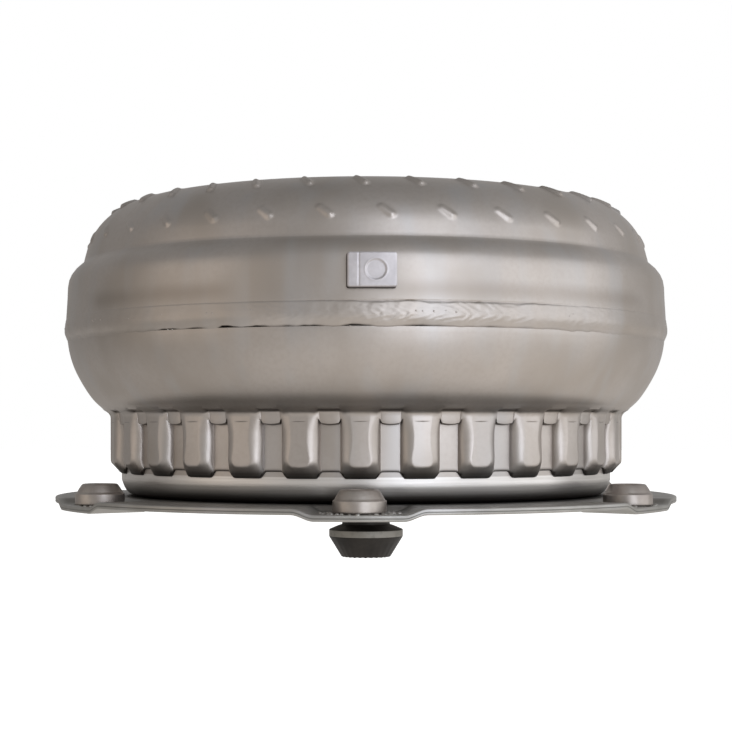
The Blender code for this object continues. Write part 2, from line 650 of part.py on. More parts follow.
def make_turbine_shell(look):
    """The dish round the turbine's blades, open towards the impeller."""
    wall = TURBINE_WALL
    centre_radius = TURBINE_FLANGE_RADIUS + SEAT_GAP * 2
    neck_bottom = TURBINE_HUB_TOP_Z - TURBINE_FLANGE_HEIGHT + wall
    neck_start = TORUS_CENTRE_RADIUS - TORUS_RADIUS - SHOULDER_WIDTH
    outline = [torus_point(TURBINE_Z, FLOW_RADIUS + wall, -angle) for angle in BLADE_ARC]
    outline += [(neck_start, neck_bottom), (centre_radius, neck_bottom)]
    outline += [(centre_radius, neck_bottom + wall), (neck_start, neck_bottom + wall)]
    outline += [torus_point(TURBINE_Z, FLOW_RADIUS, -angle) for angle in reversed(BLADE_ARC)]
    return turned("turbine_shell", outline, COARSE_SIDES, look)


def make_turbine_hub(look):
    """The serrated sleeve on the gearbox's input shaft, with seats for flange and shell."""
    bottom, top = TURBINE_HUB_BOTTOM_Z, TURBINE_HUB_TOP_Z
    seat_top = FLANGE_BOTTOM_Z - SEAT_GAP
    flange_low = top - TURBINE_FLANGE_HEIGHT
    rings = [serrated(TURBINE_BORE_RADIUS, BORE_SERRATION, bottom, SMALL_SIDES)]
    outline = [
        (TURBINE_FOOT_RADIUS, bottom), (TURBINE_FOOT_RADIUS, bottom + TURBINE_FOOT_HEIGHT),
        (TURBINE_HUB_RADIUS, bottom + TURBINE_FOOT_HEIGHT),
        (TURBINE_HUB_RADIUS, seat_top - TURBINE_FOOT_HEIGHT),
        (TURBINE_FOOT_RADIUS, seat_top - TURBINE_FOOT_HEIGHT), (TURBINE_FOOT_RADIUS, seat_top),
        (TURBINE_HUB_RADIUS, seat_top), (TURBINE_HUB_RADIUS, flange_low),
        (TURBINE_FLANGE_RADIUS, flange_low), (TURBINE_FLANGE_RADIUS, top),
    ]
    rings += [circle(radius, z, SMALL_SIDES) for radius, z in outline]
    rings.append(serrated(TURBINE_BORE_RADIUS, BORE_SERRATION, top, SMALL_SIDES))
    return skinned("turbine_hub", rings, look)


# Stator


def make_stator_wheel(look):
    """Cast wheel: clutch housing, web, vane ring and outer ring, joined by the vanes."""
    bore = (RACE_RADIUS + RUNNING_GAP) / math.cos(math.pi / STATOR_BLADES)
    race_outer = ROLLER_CIRCLE_RADIUS + ROLLER_RADIUS + SPLINE_GAP + OUTER_RACE_WALL
    pocket = (race_outer + SEAT_GAP) / math.cos(math.pi / STATOR_BLADES)
    tube = pocket + STATOR_TUBE_WALL
    web_low, web_high = MIDDLE_Z - STATOR_WEB / 2, MIDDLE_Z + STATOR_WEB / 2
    ring_inner = VANE_ROOT_RADIUS - STATOR_RING_WALL
    fillet = STATOR_RING_WALL
    tip_low, tip_high = MIDDLE_Z - VANE_TIP_LENGTH / 2, MIDDLE_Z + VANE_TIP_LENGTH / 2
    tip_outer = VANE_TIP_RADIUS + STATOR_RING_WALL
    bm = bmesh.new()

    def row(radius, z):
        share = (z - STATOR_BOTTOM_Z) / (STATOR_TOP_Z - STATOR_BOTTOM_Z)
        half = VANE_THICKNESS / 2 / VANE_ROOT_RADIUS
        return [bm.verts.new(polar(radius, centre + VANE_SWEEP * share + half * sign, z))
                for centre in evenly(STATOR_BLADES) for sign in (-1, 1)]

    wheel = [row(radius, z) for radius, z in (
        (VANE_ROOT_RADIUS, STATOR_TOP_Z), (ring_inner - fillet, web_high), (tube + fillet, web_high),
        (tube, STATOR_TOP_Z), (pocket, STATOR_TOP_Z), (pocket, STATOR_BOTTOM_Z + STATOR_LIP),
        (bore, STATOR_BOTTOM_Z + STATOR_LIP), (bore, STATOR_BOTTOM_Z), (tube, STATOR_BOTTOM_Z),
        (tube + fillet, web_low), (ring_inner - fillet, web_low), (VANE_ROOT_RADIUS, STATOR_BOTTOM_Z))]
    rim = [row(radius, z) for radius, z in (
        (VANE_TIP_RADIUS, tip_high), (tip_outer, tip_high), (tip_outer, tip_low),
        (VANE_TIP_RADIUS, tip_low))]
    for rows in (wheel, rim):
        for low, high in zip(rows, rows[1:]):
            join_rings(bm, low, high)
    for vane in range(STATOR_BLADES):
        left, right = 2 * vane, 2 * vane + 1
        following = (right + 1) % (2 * STATOR_BLADES)
        for rows in (wheel, rim):
            bm.faces.new((rows[0][right], rows[0][following], rows[-1][following], rows[-1][right]))
        root = [wheel[0][left], wheel[0][right], wheel[-1][right], wheel[-1][left]]
        tip = [rim[0][left], rim[0][right], rim[-1][right], rim[-1][left]]
        for index in range(4):
            after = (index + 1) % 4
            bm.faces.new((root[index], root[after], tip[after], tip[index]))
    return place(bm, "stator_wheel", look)


def make_inner_race(look):
    """The hardened race, serrated inside for the gearbox's fixed tube."""
    rings = [serrated(RACE_BORE_RADIUS, BORE_SERRATION, STATOR_BOTTOM_Z, SMALL_SIDES)]
    rings += [circle(RACE_RADIUS, z, SMALL_SIDES) for z in (STATOR_BOTTOM_Z, STATOR_TOP_Z)]
    rings.append(serrated(RACE_BORE_RADIUS, BORE_SERRATION, STATOR_TOP_Z, SMALL_SIDES))
    return skinned("one_way_inner_race", rings, look)


def make_one_way_clutch(race_look, roller_look):
    """Outer race, rollers and the plate that keeps them in."""
    bottom = STATOR_BOTTOM_Z + STATOR_LIP + SEAT_GAP
    plate_thickness = STATOR_LIP
    top = STATOR_TOP_Z - plate_thickness - SEAT_GAP
    inner = ROLLER_CIRCLE_RADIUS + ROLLER_RADIUS + SPLINE_GAP
    outer = inner + OUTER_RACE_WALL
    pieces = [washer("one_way_outer_race", inner, outer, bottom, top - bottom, SMALL_SIDES, race_look)]
    pieces.append(washer("one_way_side_plate", RACE_RADIUS + RUNNING_GAP, outer,
                         STATOR_TOP_Z - plate_thickness, plate_thickness, SMALL_SIDES, race_look))
    half_step = math.pi / SMALL_SIDES
    for index, angle in enumerate(evenly(ROLLER_COUNT, FRONT + half_step), start=1):
        bm = bmesh.new()
        bmesh.ops.create_cone(bm, cap_ends=True, segments=ROLLER_SIDES, radius1=ROLLER_RADIUS,
                              radius2=ROLLER_RADIUS, depth=top - bottom)
        bmesh.ops.translate(bm, verts=bm.verts, vec=(0, 0, (top + bottom) / 2))
        roller = place(bm, f"one_way_roller_{index}", roller_look)
        roller.location = polar(ROLLER_CIRCLE_RADIUS, angle, 0)
        pieces.append(roller)
    return pieces


# Lock-up clutch


def make_piston_guide(look):
    """The sleeve in the cover's centre that the piston slides on."""
    outline = [
        (GUIDE_BORE_RADIUS, GUIDE_BOTTOM_Z), (GUIDE_FLANGE_RADIUS, GUIDE_BOTTOM_Z),
        (GUIDE_FLANGE_RADIUS, GUIDE_BOTTOM_Z + GUIDE_FLANGE_HEIGHT),
        (GUIDE_RADIUS, GUIDE_BOTTOM_Z + GUIDE_FLANGE_HEIGHT), (GUIDE_RADIUS, GUIDE_TOP_Z),
        (GUIDE_BORE_RADIUS, GUIDE_TOP_Z),
    ]
    return turned("piston_guide", outline, SMALL_SIDES, look)


def make_piston(steel_look, rubber_look):
    """The apply piston, with a seal in a seat at its outer and its inner edge."""
    inner = GUIDE_RADIUS + 2 * SEAT_GAP
    inner_seat = inner + SEAL_SECTION + SEAT_GAP
    outer = INNER_COVER_RADIUS - 3 * SEAT_GAP
    outer_seat = outer - SEAL_SECTION - SEAT_GAP
    seal_high = PISTON_BOTTOM_Z + SEAL_SECTION + SEAT_GAP
    boss_top = PISTON_BOTTOM_Z + PISTON_BOSS_HEIGHT
    outline = [
        (inner_seat, PISTON_BOTTOM_Z), (inner_seat, seal_high), (inner, seal_high), (inner, boss_top),
        (inner + PISTON_BOSS_WALL, boss_top), (inner + 2 * PISTON_BOSS_WALL, PISTON_TOP_Z),
        (APPLY_RING_INNER, PISTON_TOP_Z), (APPLY_RING_INNER, APPLY_RING_Z),
        (APPLY_RING_OUTER, APPLY_RING_Z), (outer, PISTON_TOP_Z + SEAT_GAP), (outer, seal_high),
        (outer_seat, seal_high), (outer_seat, PISTON_BOTTOM_Z),
    ]
    piston = turned("apply_piston", outline, COARSE_SIDES, steel_look)
    seal_inner = GUIDE_RADIUS + SEAT_GAP
    inner_seal = washer("piston_inner_seal", seal_inner, inner_seat - SEAT_GAP, PISTON_BOTTOM_Z,
                        SEAL_SECTION, SMALL_SIDES, rubber_look)
    seal_outer = INNER_COVER_RADIUS * math.cos(math.pi / (2 * LOBE_COUNT)) - SEAT_GAP
    outer_seal = washer("piston_outer_seal", outer_seat + SEAT_GAP, seal_outer, PISTON_BOTTOM_Z,
                        SEAL_SECTION, COARSE_SIDES, rubber_look)
    return [piston, inner_seal, outer_seal]


def steel_outline():
    """Round plate with teeth that reach into the cover's lobes."""
    root = INNER_GROOVE_RADIUS * math.cos(math.pi / LOBE_COUNT) - SPLINE_GAP
    tip = INNER_LOBE_RADIUS - 2 * SPLINE_GAP
    root_half = LOBE_BASE_WIDTH / 2 - COVER_WALL
    tip_half = root_half - (tip - root) * STEEL_TOOTH_TAPER
    return toothed_outline(STEEL_TEETH, root, tip, root_half, tip_half, between=3)


def make_clutch_plates(steel_look, friction_look):
    """Two friction plates, the steel plate between them and the backing plate over them."""
    spline_root = SPLINE_RADIUS - SPLINE_DEPTH
    pitch = math.tau * SPLINE_RADIUS / SPLINE_TEETH
    friction_inner = toothed_outline(
        SPLINE_TEETH, SPLINE_RADIUS + SPLINE_GAP, spline_root + SPLINE_GAP,
        pitch / 4 - SPLINE_GAP, pitch / 5 - SPLINE_GAP, between=0)
    friction_outer = flat_circle(INNER_GROOVE_RADIUS - 3 * SPLINE_GAP, SHELL_SIDES)
    bore = flat_circle(PACK_INNER_RADIUS, COARSE_SIDES)
    friction = [plate(f"friction_plate_{index}", friction_outer, [friction_inner], bottom,
                      FRICTION_THICKNESS, friction_look)
                for index, bottom in ((1, FRICTION_1_Z), (2, FRICTION_2_Z))]
    steel = plate("steel_plate", steel_outline(), [bore], STEEL_Z, STEEL_THICKNESS, steel_look)
    backing = plate("backing_plate", steel_outline(), [bore], BACKING_Z, BACKING_THICKNESS, steel_look)
    return friction, steel, backing


def make_snap_ring(look):
    """An open ring that holds the backing plate in the cover."""
    outer = INNER_GROOVE_RADIUS * math.cos(math.pi / LOBE_COUNT) - SEAT_GAP
    inner = outer - SNAP_RING_WIDTH
    spread = math.tau - SNAP_RING_MOUTH
    start = FRONT + SNAP_RING_MOUTH / 2
    angles = [start + spread * step / COARSE_SIDES for step in range(COARSE_SIDES + 1)]
    outline = [(outer * math.cos(angle), outer * math.sin(angle)) for angle in angles]
    outline += [(inner * math.cos(angle), inner * math.sin(angle)) for angle in reversed(angles)]
    return plate("snap_ring", outline, [], SNAP_RING_Z, SNAP_RING_THICKNESS, look)


def make_clutch_hub(look):
    """The drum that carries the friction plates' teeth and is fixed to the damper."""
    root = SPLINE_RADIUS - SPLINE_DEPTH
    inner = root - CLUTCH_HUB_WALL
    top = DAMPER_FRONT_TOP_Z - DAMPER_PLATE - SEAT_GAP
    spline_low, spline_high = FRICTION_1_Z - SPLINE_GAP, BACKING_Z
    pitch = math.tau * SPLINE_RADIUS / SPLINE_TEETH
    slots = toothed_outline(SPLINE_TEETH, SPLINE_RADIUS, root, pitch / 4, pitch / 5, between=0)

    def splined(z):
        return [Vector((x, y, z)) for x, y in slots]

    def round_ring(radius, z):
        return [polar(radius, math.atan2(y, x), z) for x, y in slots]

    rings = [round_ring(inner, spline_low), splined(spline_low), splined(spline_high),
             round_ring(root, spline_high + CLUTCH_HUB_WALL), round_ring(root, top),
             round_ring(CLUTCH_HUB_FLANGE_RADIUS, top),
             round_ring(CLUTCH_HUB_FLANGE_RADIUS, top - DAMPER_PLATE), round_ring(inner, top - DAMPER_PLATE)]
    return skinned("clutch_hub", rings, look)


# Torsion damper


def spring_windows():
    """The rectangular windows that hold the springs in a damper plate."""
    half_length = SPRING_LENGTH / 2 + SEAT_GAP
    low, high = (SPRING_CIRCLE_RADIUS + sign * (SPRING_RADIUS + SEAT_GAP) for sign in (-1, 1))
    windows = []
    for angle in evenly(SPRING_COUNT):
        outward = Vector((math.cos(angle), math.sin(angle)))
        along = Vector((-outward.y, outward.x))
        corners = [(low, -half_length), (high, -half_length), (high, half_length), (low, half_length)]
        windows.append([tuple(outward * out + along * side) for out, side in corners])
    return windows


def make_damper_plates(look):
    """Front and rear plate, with a spacer ring between their rims."""
    outer = flat_circle(DAMPER_RADIUS, COARSE_SIDES)
    front_bore = flat_circle(TURBINE_FOOT_RADIUS + RUNNING_GAP, SMALL_SIDES)
    rear_bore = flat_circle(REAR_PLATE_BORE_RADIUS, SMALL_SIDES)
    rim_bottom = DAMPER_FRONT_TOP_Z + SEAT_GAP
    rim_height = DAMPER_REAR_BOTTOM_Z - SEAT_GAP - rim_bottom
    return [
        plate("damper_front_plate", outer, [front_bore, *spring_windows()],
              DAMPER_FRONT_TOP_Z - DAMPER_PLATE, DAMPER_PLATE, look),
        plate("damper_rear_plate", outer, [rear_bore, *spring_windows()],
              DAMPER_REAR_BOTTOM_Z, DAMPER_PLATE, look),
        washer("damper_spacer_ring", DAMPER_RADIUS - DAMPER_RIM_WALL, DAMPER_RADIUS, rim_bottom,
               rim_height, COARSE_SIDES, look),
    ]


def make_damper_flange(look):
    """The disc on the turbine hub, with an arm between each pair of springs."""
    tip = DAMPER_RADIUS - DAMPER_RIM_WALL - 4 * SPLINE_GAP
    points = []
    for centre in evenly(SPRING_COUNT, FRONT + math.pi / SPRING_COUNT):
        half = FLANGE_ARM_HALF_ANGLE
        stations = [(FLANGE_DISC_RADIUS, -half), (tip, -half), (tip, half), (FLANGE_DISC_RADIUS, half)]
        free = math.tau / SPRING_COUNT - 2 * half
        stations += [(FLANGE_DISC_RADIUS, half + free * step / FREE_STEPS) for step in range(1, FREE_STEPS)]
        points += [(radius * math.cos(centre + turn), radius * math.sin(centre + turn))
                   for radius, turn in stations]
    bore = flat_circle(TURBINE_HUB_RADIUS + SEAT_GAP, SMALL_SIDES)
    return plate("damper_flange", points, [bore], FLANGE_BOTTOM_Z, FLANGE_THICKNESS, look)


def make_damper_spring(index, angle, look):
    """A coil spring whose axis lies along the spring circle's tangent."""
    outward = Vector((math.cos(angle), math.sin(angle), 0))
    along = Vector((-outward.y, outward.x, 0))
    up = Vector((0, 0, 1))
    centre = outward * SPRING_CIRCLE_RADIUS + up * DAMPER_Z
    coil_radius = SPRING_RADIUS - SPRING_WIRE_RADIUS
    travel = SPRING_LENGTH - 2 * SPRING_WIRE_RADIUS
    steps = SPRING_TURNS * SPRING_TURN_SIDES
    bm = bmesh.new()
    sections = []
    for step in range(steps + 1):
        turn = math.tau * (step + 0.5) / SPRING_TURN_SIDES
        spoke = outward * math.cos(turn) + up * math.sin(turn)
        middle = centre + along * travel * (step / steps - 0.5)
        sections.append([bm.verts.new(middle + spoke * (coil_radius + SPRING_WIRE_RADIUS * out)
                                      + along * SPRING_WIRE_RADIUS * side)
                         for out, side in ((1, 0), (0, 1), (-1, 0), (0, -1))])
    for low, high in zip(sections, sections[1:]):
        join_rings(bm, low, high)
    bm.faces.new(sections[0])
    bm.faces.new(sections[-1])
    return place(bm, f"damper_spring_{index}", look)


def make_thrust_bearing(name, bottom, inner, outer, look):
    return washer(name, inner, outer, bottom, BEARING_THICKNESS, SMALL_SIDES, look)


def main():
    clear_scene()
    casing = material("blasted_steel", (0.33, 0.29, 0.26), 0.75, 0.5)
    black_oxide = material("black_oxide_steel", (0.02, 0.018, 0.015), 0.4, 0.45)
    pressed = material("pressed_steel", (0.45, 0.45, 0.44), 1.0, 0.4)
    machined = material("machined_steel", (0.55, 0.55, 0.55), 1.0, 0.25)
    hardened = material("hardened_steel", (0.4, 0.4, 0.42), 1.0, 0.2)
    cast = material("cast_aluminium", (0.6, 0.61, 0.62), 1.0, 0.45)
    friction_paper = material("friction_paper", (0.16, 0.1, 0.06), 0.0, 0.9)
    rubber = material("nitrile_rubber", (0.02, 0.02, 0.02), 0.0, 0.6)
    spring_steel = material("spring_steel", (0.2, 0.2, 0.22), 1.0, 0.35)

    housing = body_empty("housing", 0)
    carried_by(housing, make_pilot(black_oxide), make_drive_plate(casing), make_front_cover(casing),
               make_impeller_shell(casing), make_seam_weld(casing), make_impeller_hub(machined),
               make_balance_weight(casing), make_piston_guide(machined), make_snap_ring(spring_steel))
    for index, angle in enumerate(evenly(PAD_COUNT), start=1):
        carried_by(housing, make_weld_nut(index, angle, casing))
    carried_by(housing, make_blade_wheel("impeller_blades", TORUS_Z, True, IMPELLER_BLADES,
                                         RUNNING_GAP, pressed))
    carried_by(housing, make_thrust_bearing("front_thrust_bearing", GUIDE_TOP_Z + SEAT_GAP,
                                            GUIDE_BORE_RADIUS, TURBINE_FOOT_RADIUS, hardened))
    carried_by(housing, make_thrust_bearing("rear_thrust_bearing", STATOR_TOP_Z + SEAT_GAP,
                                            BEARING_INNER_RADIUS, BEARING_OUTER_RADIUS, hardened))

    friction, steel, backing = make_clutch_plates(pressed, friction_paper)
    carried_by(housing, backing)
    carried_by(body_empty("steel_slide", STEEL_Z), steel)

    piston = body_empty("piston_slide", PISTON_BOTTOM_Z)
    carried_by(piston, *make_piston(pressed, rubber))

    turbine = body_empty("turbine", MIDDLE_Z)
    carried_by(turbine, make_turbine_shell(pressed), make_turbine_hub(machined), make_damper_flange(pressed))
    carried_by(turbine, make_blade_wheel("turbine_blades", TURBINE_Z, False, TURBINE_BLADES,
                                         RUNNING_GAP, pressed))
    carried_by(turbine, make_thrust_bearing("middle_thrust_bearing", TURBINE_HUB_TOP_Z + SEAT_GAP,
                                            BEARING_INNER_RADIUS, BEARING_OUTER_RADIUS, hardened))

    carrier = body_empty("damper_carrier", DAMPER_Z)
    carried_by(carrier, make_clutch_hub(pressed), *make_damper_plates(pressed))
    for index, angle in enumerate(evenly(SPRING_COUNT), start=1):
        carried_by(carrier, make_damper_spring(index, angle, spring_steel))
    for plate_object in friction:
        slide = body_empty("slide_of_" + plate_object.name, DAMPER_Z)
        carried_by(slide, plate_object)

    carried_by(body_empty("inner_race", MIDDLE_Z), make_inner_race(hardened))
    carried_by(body_empty("stator", MIDDLE_Z), make_stator_wheel(cast),
               *make_one_way_clutch(hardened, hardened))


main()
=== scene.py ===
"""Finished look of a lock-up torque converter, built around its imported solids.

Sizes of the visible casing are given in millimetres, measured from the tip of the pilot, and
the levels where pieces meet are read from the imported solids. Pieces turn round the Z axis, and
the drive plate's front pad points to -Y.
"""

import enum
import json
import logging
import math
from collections.abc import Callable, Iterable, Mapping, Sequence
from dataclasses import dataclass, field

import bmesh
import bpy
import numpy as np
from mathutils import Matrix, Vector


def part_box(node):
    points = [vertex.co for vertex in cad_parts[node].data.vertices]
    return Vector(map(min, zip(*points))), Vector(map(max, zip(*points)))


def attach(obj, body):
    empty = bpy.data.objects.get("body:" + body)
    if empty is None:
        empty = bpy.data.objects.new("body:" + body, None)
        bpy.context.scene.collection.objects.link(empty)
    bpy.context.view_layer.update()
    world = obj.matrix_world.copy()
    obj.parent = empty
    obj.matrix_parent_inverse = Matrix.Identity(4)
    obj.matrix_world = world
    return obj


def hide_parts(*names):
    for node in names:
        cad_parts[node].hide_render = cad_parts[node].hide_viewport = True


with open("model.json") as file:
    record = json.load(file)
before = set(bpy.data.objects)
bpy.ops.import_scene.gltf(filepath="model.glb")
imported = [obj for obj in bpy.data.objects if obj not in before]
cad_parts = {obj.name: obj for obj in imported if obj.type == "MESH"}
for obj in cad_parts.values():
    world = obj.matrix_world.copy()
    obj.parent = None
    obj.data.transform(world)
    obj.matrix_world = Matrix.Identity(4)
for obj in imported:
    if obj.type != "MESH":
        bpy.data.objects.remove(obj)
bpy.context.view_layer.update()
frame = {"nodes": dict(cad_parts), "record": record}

LOG = logging.getLogger("torque_converter")
MM = 0.001                      # metres
FRONT = math.radians(-90.0)     # towards the drive plate's front pad
MERGE_DISTANCE = 2e-6           # metres between points that become one

# Settings that several nodes share.
RGBA = {"data_type": "RGBA"}
SMOOTH = {"interpolation_type": "SMOOTHSTEP"}
MULTIPLY = {"operation": "MULTIPLY"}

Outline = list[tuple[float, float]]


# Nodes and meshes


def add_node(tree: bpy.types.NodeTree, kind: str, settings: Mapping[str, object] | None = None,
             inputs: Mapping[str | int, object] | None = None) -> bpy.types.Node:
    """Adds a node to a tree.

    Args:
        tree: The shader, world or geometry tree.
        kind: The node's type name.
        settings: Values for the node's own properties.
        inputs: Values or output sockets for its inputs, by name or by number.

    Returns:
        The new node.
    """
    node = tree.nodes.new(kind)
    for name, value in (settings or {}).items():
        setattr(node, name, value)
    for key, value in (inputs or {}).items():
        if isinstance(value, bpy.types.NodeSocket):
            tree.links.new(value, node.inputs[key])
        else:
            node.inputs[key].default_value = value
    return node


def linear(colour: str) -> tuple[float, float, float, float]:
    """Turns an sRGB colour into linear red, green, blue and alpha.

    Args:
        colour: Six hex digits, such as "8A8178".

    Returns:
        The four shares, from 0 to 1.
    """
    shares = [int(colour[index:index + 2], 16) / 255 for index in (0, 2, 4)]
    parts = [share / 12.92 if share <= 0.04045 else ((share + 0.055) / 1.055) ** 2.4
             for share in shares]
    return (parts[0], parts[1], parts[2], 1.0)


def smooth_step(value: np.ndarray) -> np.ndarray:
    """An S-curve from 0 to 1 over the values 0 to 1."""
    held = np.clip(value, 0, 1)
    return held * held * (3 - 2 * held)


def curve_through(points: Sequence[tuple[float, float]], step: float) -> Outline:
    """Samples a smooth curve through points.

    Args:
        points: Radius and height of each point, in millimetres.
        step: Distance between samples, in millimetres.

    Returns:
        The sampled outline, with both end points.
    """
    spots = [np.array(point, float) for point in points]
    spots = [2 * spots[0] - spots[1], *spots, 2 * spots[-1] - spots[-2]]
    sampled = []
    for before, start, end, after in zip(spots, spots[1:], spots[2:], spots[3:]):
        count = max(1, round(float(np.linalg.norm(end - start)) / step))
        for share in np.arange(count) / count:
            sampled.append(0.5 * (2 * start + (end - before) * share
                                  + (2 * before - 5 * start + 4 * end - after) * share ** 2
                                  + (3 * start - before - 3 * end + after) * share ** 3))
    sampled.append(spots[-2])
    return [(float(radius), float(z)) for radius, z in sampled]


def arc(centre: tuple[float, float], radius: float, start: float, end: float, count: int) -> Outline:
    """Points on an arc of an outline.

    Args:
        centre: Radius and height of the arc's centre.
        radius: The arc's radius.
        start: First angle in degrees, from the outward direction towards +Z.
        end: Last angle in degrees.
        count: Number of steps.

    Returns:
        The count + 1 points.
    """
    angles = [math.radians(start + (end - start) * step / count) for step in range(count + 1)]
    return [(centre[0] + radius * math.cos(angle), centre[1] + radius * math.sin(angle))
            for angle in angles]


def softened(outline: Outline, width: float, steps: int = 3) -> Outline:
    """Rounds every inner corner of an outline.

    Args:
        outline: The corners, in order.
        width: How far along each side the rounding reaches, at most.
        steps: Steps on each rounding.

    Returns:
        The outline with its first and last points as they were.
    """
    rounded = [outline[0]]
    for before, corner, after in zip(outline, outline[1:], outline[2:]):
        spots = [np.array(point, float) for point in (before, corner, after)]
        ends = []
        for neighbour in (spots[0], spots[2]):
            length = float(np.linalg.norm(neighbour - spots[1]))
            ends.append(spots[1] + (neighbour - spots[1]) * min(width, 0.45 * length) / length)
        for step in range(steps + 1):
            share = step / steps
            point = (ends[0] * (1 - share) ** 2 + 2 * spots[1] * share * (1 - share)
                     + ends[1] * share ** 2)
            rounded.append((float(point[0]), float(point[1])))
    rounded.append(outline[-1])
    return rounded


def ring_points(radius: np.ndarray, angle: np.ndarray, height: np.ndarray) -> np.ndarray:
    """World points, in metres, from radius and height in millimetres and angle in radians."""
    radius, angle, height = np.broadcast_arrays(radius, angle, height)
    return np.stack([radius * np.cos(angle), radius * np.sin(angle), height], axis=-1) * MM


def grid_mesh(name: str, points: np.ndarray,
              marks: Mapping[str, np.ndarray] | None = None) -> bpy.types.Mesh:
    """A mesh of quads over a grid of points.

    Args:
        name: The mesh's name.
        points: World points, with the shape (rows, columns, 3).
        marks: Point attributes to keep, each with the shape (rows, columns).

    Returns:
        The mesh.
    """
    rows, columns = points.shape[:2]
    numbers = np.arange(rows * columns).reshape(rows, columns)
    quads = np.stack([numbers[:-1, :-1], numbers[:-1, 1:], numbers[1:, 1:], numbers[1:, :-1]],
                     axis=-1)
    mesh = bpy.data.meshes.new(name)
    mesh.from_pydata(points.reshape(-1, 3).tolist(), [], quads.reshape(-1, 4).tolist())
    for mark, values in (marks or {}).items():
        attribute = mesh.attributes.new(mark, "FLOAT", "POINT")
        shares = np.broadcast_to(values, (rows, columns)).ravel().astype(np.float32)
        attribute.data.foreach_set("value", shares)
    return mesh


def linked(name: str, mesh: bpy.types.Mesh) -> bpy.types.Object:
    """Puts an object of this mesh in the scene, at the origin.

    Args:
        name: The object's name.
        mesh: Its mesh.

    Returns:
        The object.
    """
    made = bpy.data.objects.new(name, mesh)
    bpy.context.scene.collection.objects.link(made)
    return made


def settled(piece: bpy.types.Object, sharp: float = 40.0, recalculate: bool = True) -> bpy.types.Object:
    """Turns an object and its modifiers into a plain closed mesh.

    Args:
        piece: The object.
        sharp: Edges over this angle, in degrees, stay sharp.
        recalculate: Whether to turn the faces outwards.

    Returns:
        The same object, without modifiers.
    """
    bpy.context.view_layer.update()
    graph = bpy.context.evaluated_depsgraph_get()
    mesh = bpy.data.meshes.new_from_object(piece.evaluated_get(graph), depsgraph=graph)
    piece.modifiers.clear()
    piece.data = mesh
    mesh.name = piece.name
    bm = bmesh.new()
    bm.from_mesh(mesh)
    bmesh.ops.remove_doubles(bm, verts=bm.verts, dist=MERGE_DISTANCE)
    bmesh.ops.dissolve_degenerate(bm, edges=bm.edges, dist=MERGE_DISTANCE / 2)
    if recalculate:
        bmesh.ops.recalc_face_normals(bm, faces=bm.faces)
    bm.to_mesh(mesh)
    bm.free()
    mesh.shade_smooth()
    mesh.set_sharp_from_angle(angle=math.radians(sharp))
    return piece


def dressed(piece: bpy.types.Object, look: bpy.types.Material, body: str = "housing",
            nodes: Sequence[str] = ()) -> bpy.types.Object:
    """Gives a finished piece its material, its body and the solids that it stands for.

    Args:
        piece: The finished object.
        look: Its material.
        body: The body that it rides on.
        nodes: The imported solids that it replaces.

    Returns:
        The same object.
    """
    piece.data.materials.clear()
    piece.data.materials.append(look)
    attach(piece, body)
    if nodes:
        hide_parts(*nodes)
    LOG.info("%s: %d faces, rides on %s, for %s", piece.name, len(piece.data.polygons), body,
             ", ".join(nodes) or "no solid")
    return piece


# Geometry Nodes trees


def geometry_tree(name: str,
                  inputs: Iterable[tuple[str, str]]) -> tuple[bpy.types.NodeTree, bpy.types.Node]:
    """A new Geometry Nodes tree.

    Args:
        name: The tree's name.
        inputs: Name and socket type of each input after the geometry.

    Returns:
        The tree and its Group Input node.
    """
    tree = bpy.data.node_groups.new(name, "GeometryNodeTree")
    tree.interface.new_socket("Geometry", in_out="INPUT", socket_type="NodeSocketGeometry")
    for label, kind in inputs:
        tree.interface.new_socket(label, in_out="INPUT", socket_type=kind)
    tree.interface.new_socket("Geometry", in_out="OUTPUT", socket_type="NodeSocketGeometry")
    return tree, add_node(tree, "NodeGroupInput")


def finish_tree(tree: bpy.types.NodeTree, geometry: bpy.types.NodeSocket,
                source: bpy.types.Node, merge: bool = True) -> None:
    """Ends a tree: realises instances, merges seams and sets the material.

    Args:
        tree: The tree.
        geometry: The geometry to finish.
        source: The tree's Group Input node, with an input named Material.
        merge: Whether points closer than the Merge Distance input become one.
    """
    out = add_node(tree, "GeometryNodeRealizeInstances", inputs={"Geometry": geometry}).outputs[0]
    if merge:
        out = add_node(tree, "GeometryNodeMergeByDistance", inputs={
            "Geometry": out, "Distance": source.outputs["Merge Distance"]}).outputs[0]
    out = add_node(tree, "GeometryNodeSetMaterial", inputs={
        "Geometry": out, "Material": source.outputs["Material"]}).outputs[0]
    add_node(tree, "NodeGroupOutput", inputs={"Geometry": out})


def grow(piece: bpy.types.Object, tree: bpy.types.NodeTree, values: Mapping[str, object],
         sharp: float = 40.0, recalculate: bool = True) -> bpy.types.Object:
    """Runs a tree on an object and keeps the result as a plain mesh.

    Args:
        piece: The object whose mesh goes into the tree.
        tree: The tree.
        values: The tree's inputs by name.
        sharp: Edges over this angle, in degrees, stay sharp.
        recalculate: Whether to turn the faces outwards.

    Returns:
        The same object, without modifiers.
    """
    modifier = piece.modifiers.new(tree.name, "NODES")
    modifier.node_group = tree
    sockets = {item.name: item.identifier for item in tree.interface.items_tree
               if item.in_out == "INPUT"}
    for name, value in values.items():
        modifier[sockets[name]] = value
    return settled(piece, sharp, recalculate)


